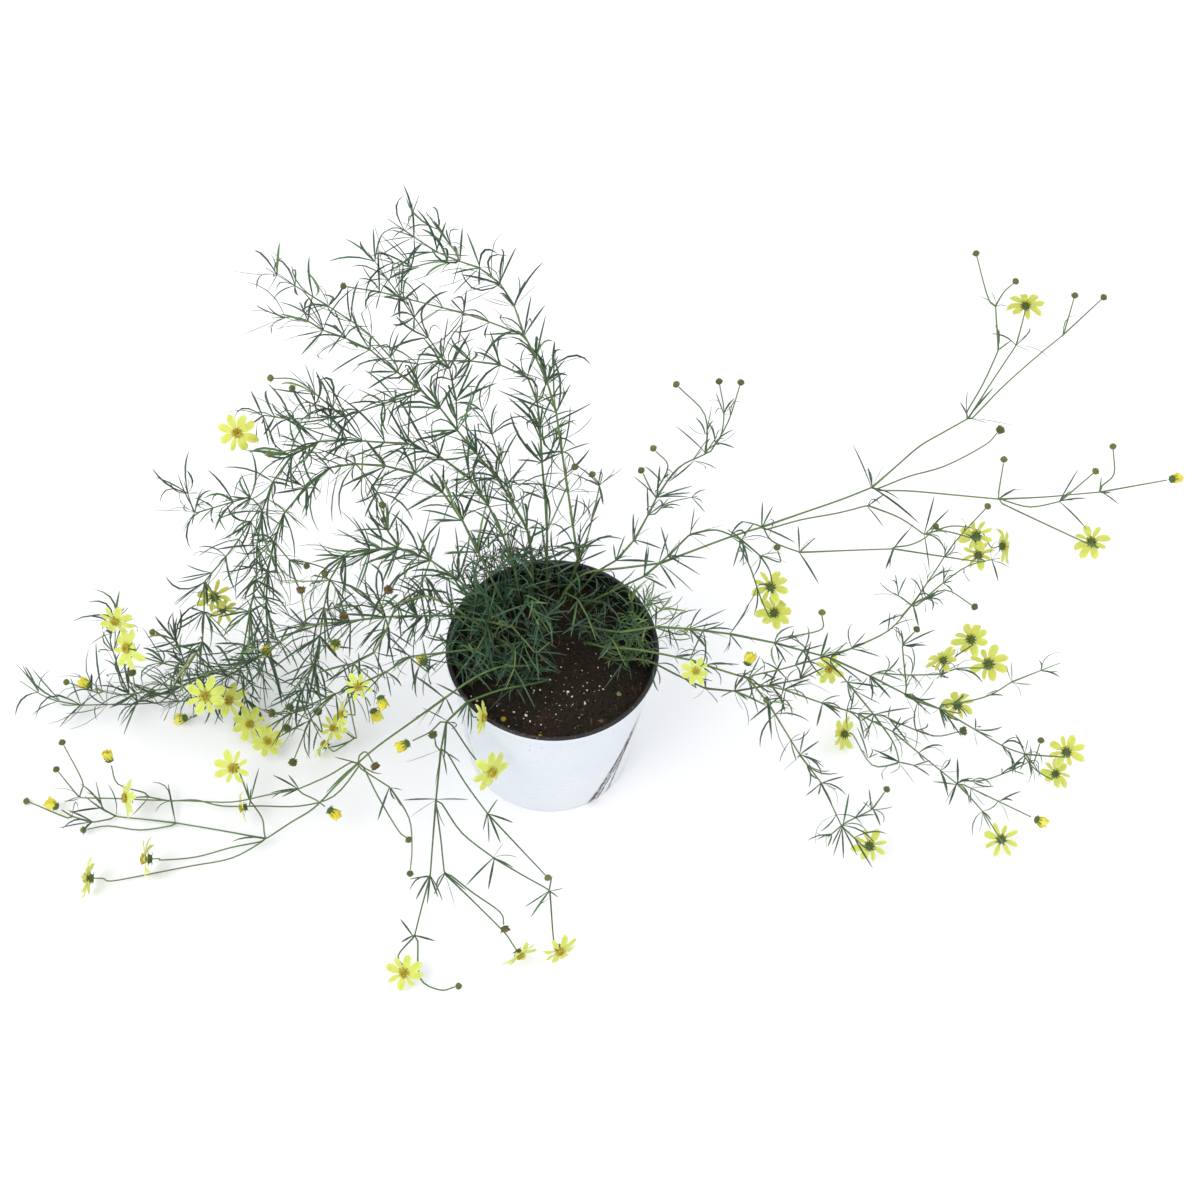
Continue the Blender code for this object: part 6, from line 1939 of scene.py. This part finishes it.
@dataclass
class Basal:
    """The young shoots that crowd the soil round the crown.

    Each patch has a column, a row, a spread in pixels, a count, a height in millimetres and a lean.
    """

    view: Viewpoint
    soil: Soil
    level: float = 0.13
    reach: float = 74 * MM
    joints: int = 6
    crown: tuple[tuple[int, int, float, int, float, tuple[float, float]], ...] = (
        (500, 600, 17.0, 9, 44.0, (-0.15, 0.1)), (486, 640, 14.0, 8, 38.0, (-0.3, 0.0)),
        (520, 575, 16.0, 6, 48.0, (0.0, 0.2)), (505, 665, 15.0, 6, 32.0, (-0.2, -0.2)),
        (472, 672, 9.0, 3, 32.0, (-0.4, -0.1)), (590, 600, 16.0, 4, 28.0, (0.2, 0.1)),
        (540, 640, 16.0, 3, 26.0, (0.0, 0.1)), (575, 640, 12.0, 3, 24.0, (0.2, 0.0)))
    edge: tuple[tuple[int, int, float, int, float, tuple[float, float]], ...] = (
        (638, 634, 8.0, 9, 36.0, (0.35, 0.0)), (628, 655, 6.0, 3, 28.0, (0.1, -0.2)))

    def grow(self, name: str, patches: tuple, seed: int) -> Stem:
        """Lay some patches of shoots out as one stem of their own.

        Args:
            name: what the stem is called.
            patches: its patches.
            seed: what its variation starts from.
        Returns:
            The stem.
        """
        chance = np.random.default_rng(seed)
        made = Stem(name)
        for column, row, spread, count, tall, (lean_x, lean_y) in patches:
            for _ in range(count):
                foot = self.view.spot(column + chance.normal(0, spread), row + chance.normal(0, spread),
                                      self.level)
                out = math.hypot(foot.x, foot.y)
                if out > self.reach:
                    foot *= self.reach / out
                start = np.array([foot.x, foot.y, self.soil.height(foot.x, foot.y) - 2 * MM])
                way = unit(np.array([lean_x + chance.normal(0, 0.28), lean_y + chance.normal(0, 0.28), 1.0]))
                height = tall * MM * chance.uniform(0.6, 1.2)
                steps = np.linspace(0.0, 1.0, self.joints)
                sag = np.array([lean_x, lean_y, -0.2]) * height * 0.35
                places = [start + way * height * t + sag * t * t for t in steps]
                shoot = Shoot(places, list(np.linspace(0.75, 0.35, self.joints) * MM), 1)
                for k in range(1, self.joints):
                    shoot.nodes.append(Node(places[k], unit(places[k] - places[k - 1]), 0.5 * MM))
                made.shoots.append(shoot)
        return made


# Studio


@dataclass
class Studio:
    """The plain floor and the soft light round it."""

    reach: float = 12.0
    aim: tuple[float, float, float] = (0.0, 0.0, 0.15)
    lamps: tuple[tuple[str, tuple[float, float, float], float, float], ...] = (
        ("key", (-1.4, -1.2, 2.6), 1.8, 34.0), ("fill", (1.8, 0.9, 2.4), 2.2, 12.0))

    def build(self, palette: Palette) -> None:
        """Lay the floor, set the even sky and hang two soft lights.

        Args:
            palette: the finishes.
        """
        bpy.ops.mesh.primitive_plane_add(size=self.reach)
        floor = bpy.context.object
        floor.name = "studio_floor"
        floor.data.materials.append(palette.floor)
        sky = bpy.context.scene.world or bpy.data.worlds.new("sky")
        bpy.context.scene.world = sky
        sky.use_nodes = True
        air = sky.node_tree.nodes["Background"]
        air.inputs[0].default_value = linear("FBFCFF")
        air.inputs[1].default_value = 1.0
        for name, place, size, power in self.lamps:
            lamp = bpy.data.lights.new(name, "AREA")
            lamp.size, lamp.energy = size, power
            held = bpy.data.objects.new(name, lamp)
            held.location = place
            facing = Vector(self.aim) - Vector(place)
            held.rotation_euler = facing.to_track_quat("-Z", "Y").to_euler()
            bpy.context.scene.collection.objects.link(held)
        bpy.context.scene.view_settings.view_transform = "Standard"


def main() -> None:
    """Build and dress the whole object in order."""
    logging.basicConfig(level=logging.INFO, format="%(name)s: %(message)s")
    view = Viewpoint()
    view.camera()
    palette = Palette()
    Pot().build(palette)
    soil = Soil(view)
    soil.build(palette)
    blooms = [Bloom.read(name) for name in sorted(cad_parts) if name.startswith("bloom")]
    foliage, stalks, heads, flowers = Foliage(), Stalks(), Heads(), Flowers()
    stems = [Stem(name).read() for name in sorted(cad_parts) if name.startswith("stem")]
    basal = Basal(view, soil)
    stems.append(basal.grow("basal_crown", basal.crown, 23))
    stems.append(basal.grow("basal_edge", basal.edge, 29))
    for stem in stems:
        stalks.dress(stem, palette)
        foliage.dress(stem, blooms, palette)
        heads.dress(stem, palette)
    for bloom in blooms:
        flowers.dress(bloom, heads, palette)
    Studio().build(palette)


if __name__ == "__main__":
    main()
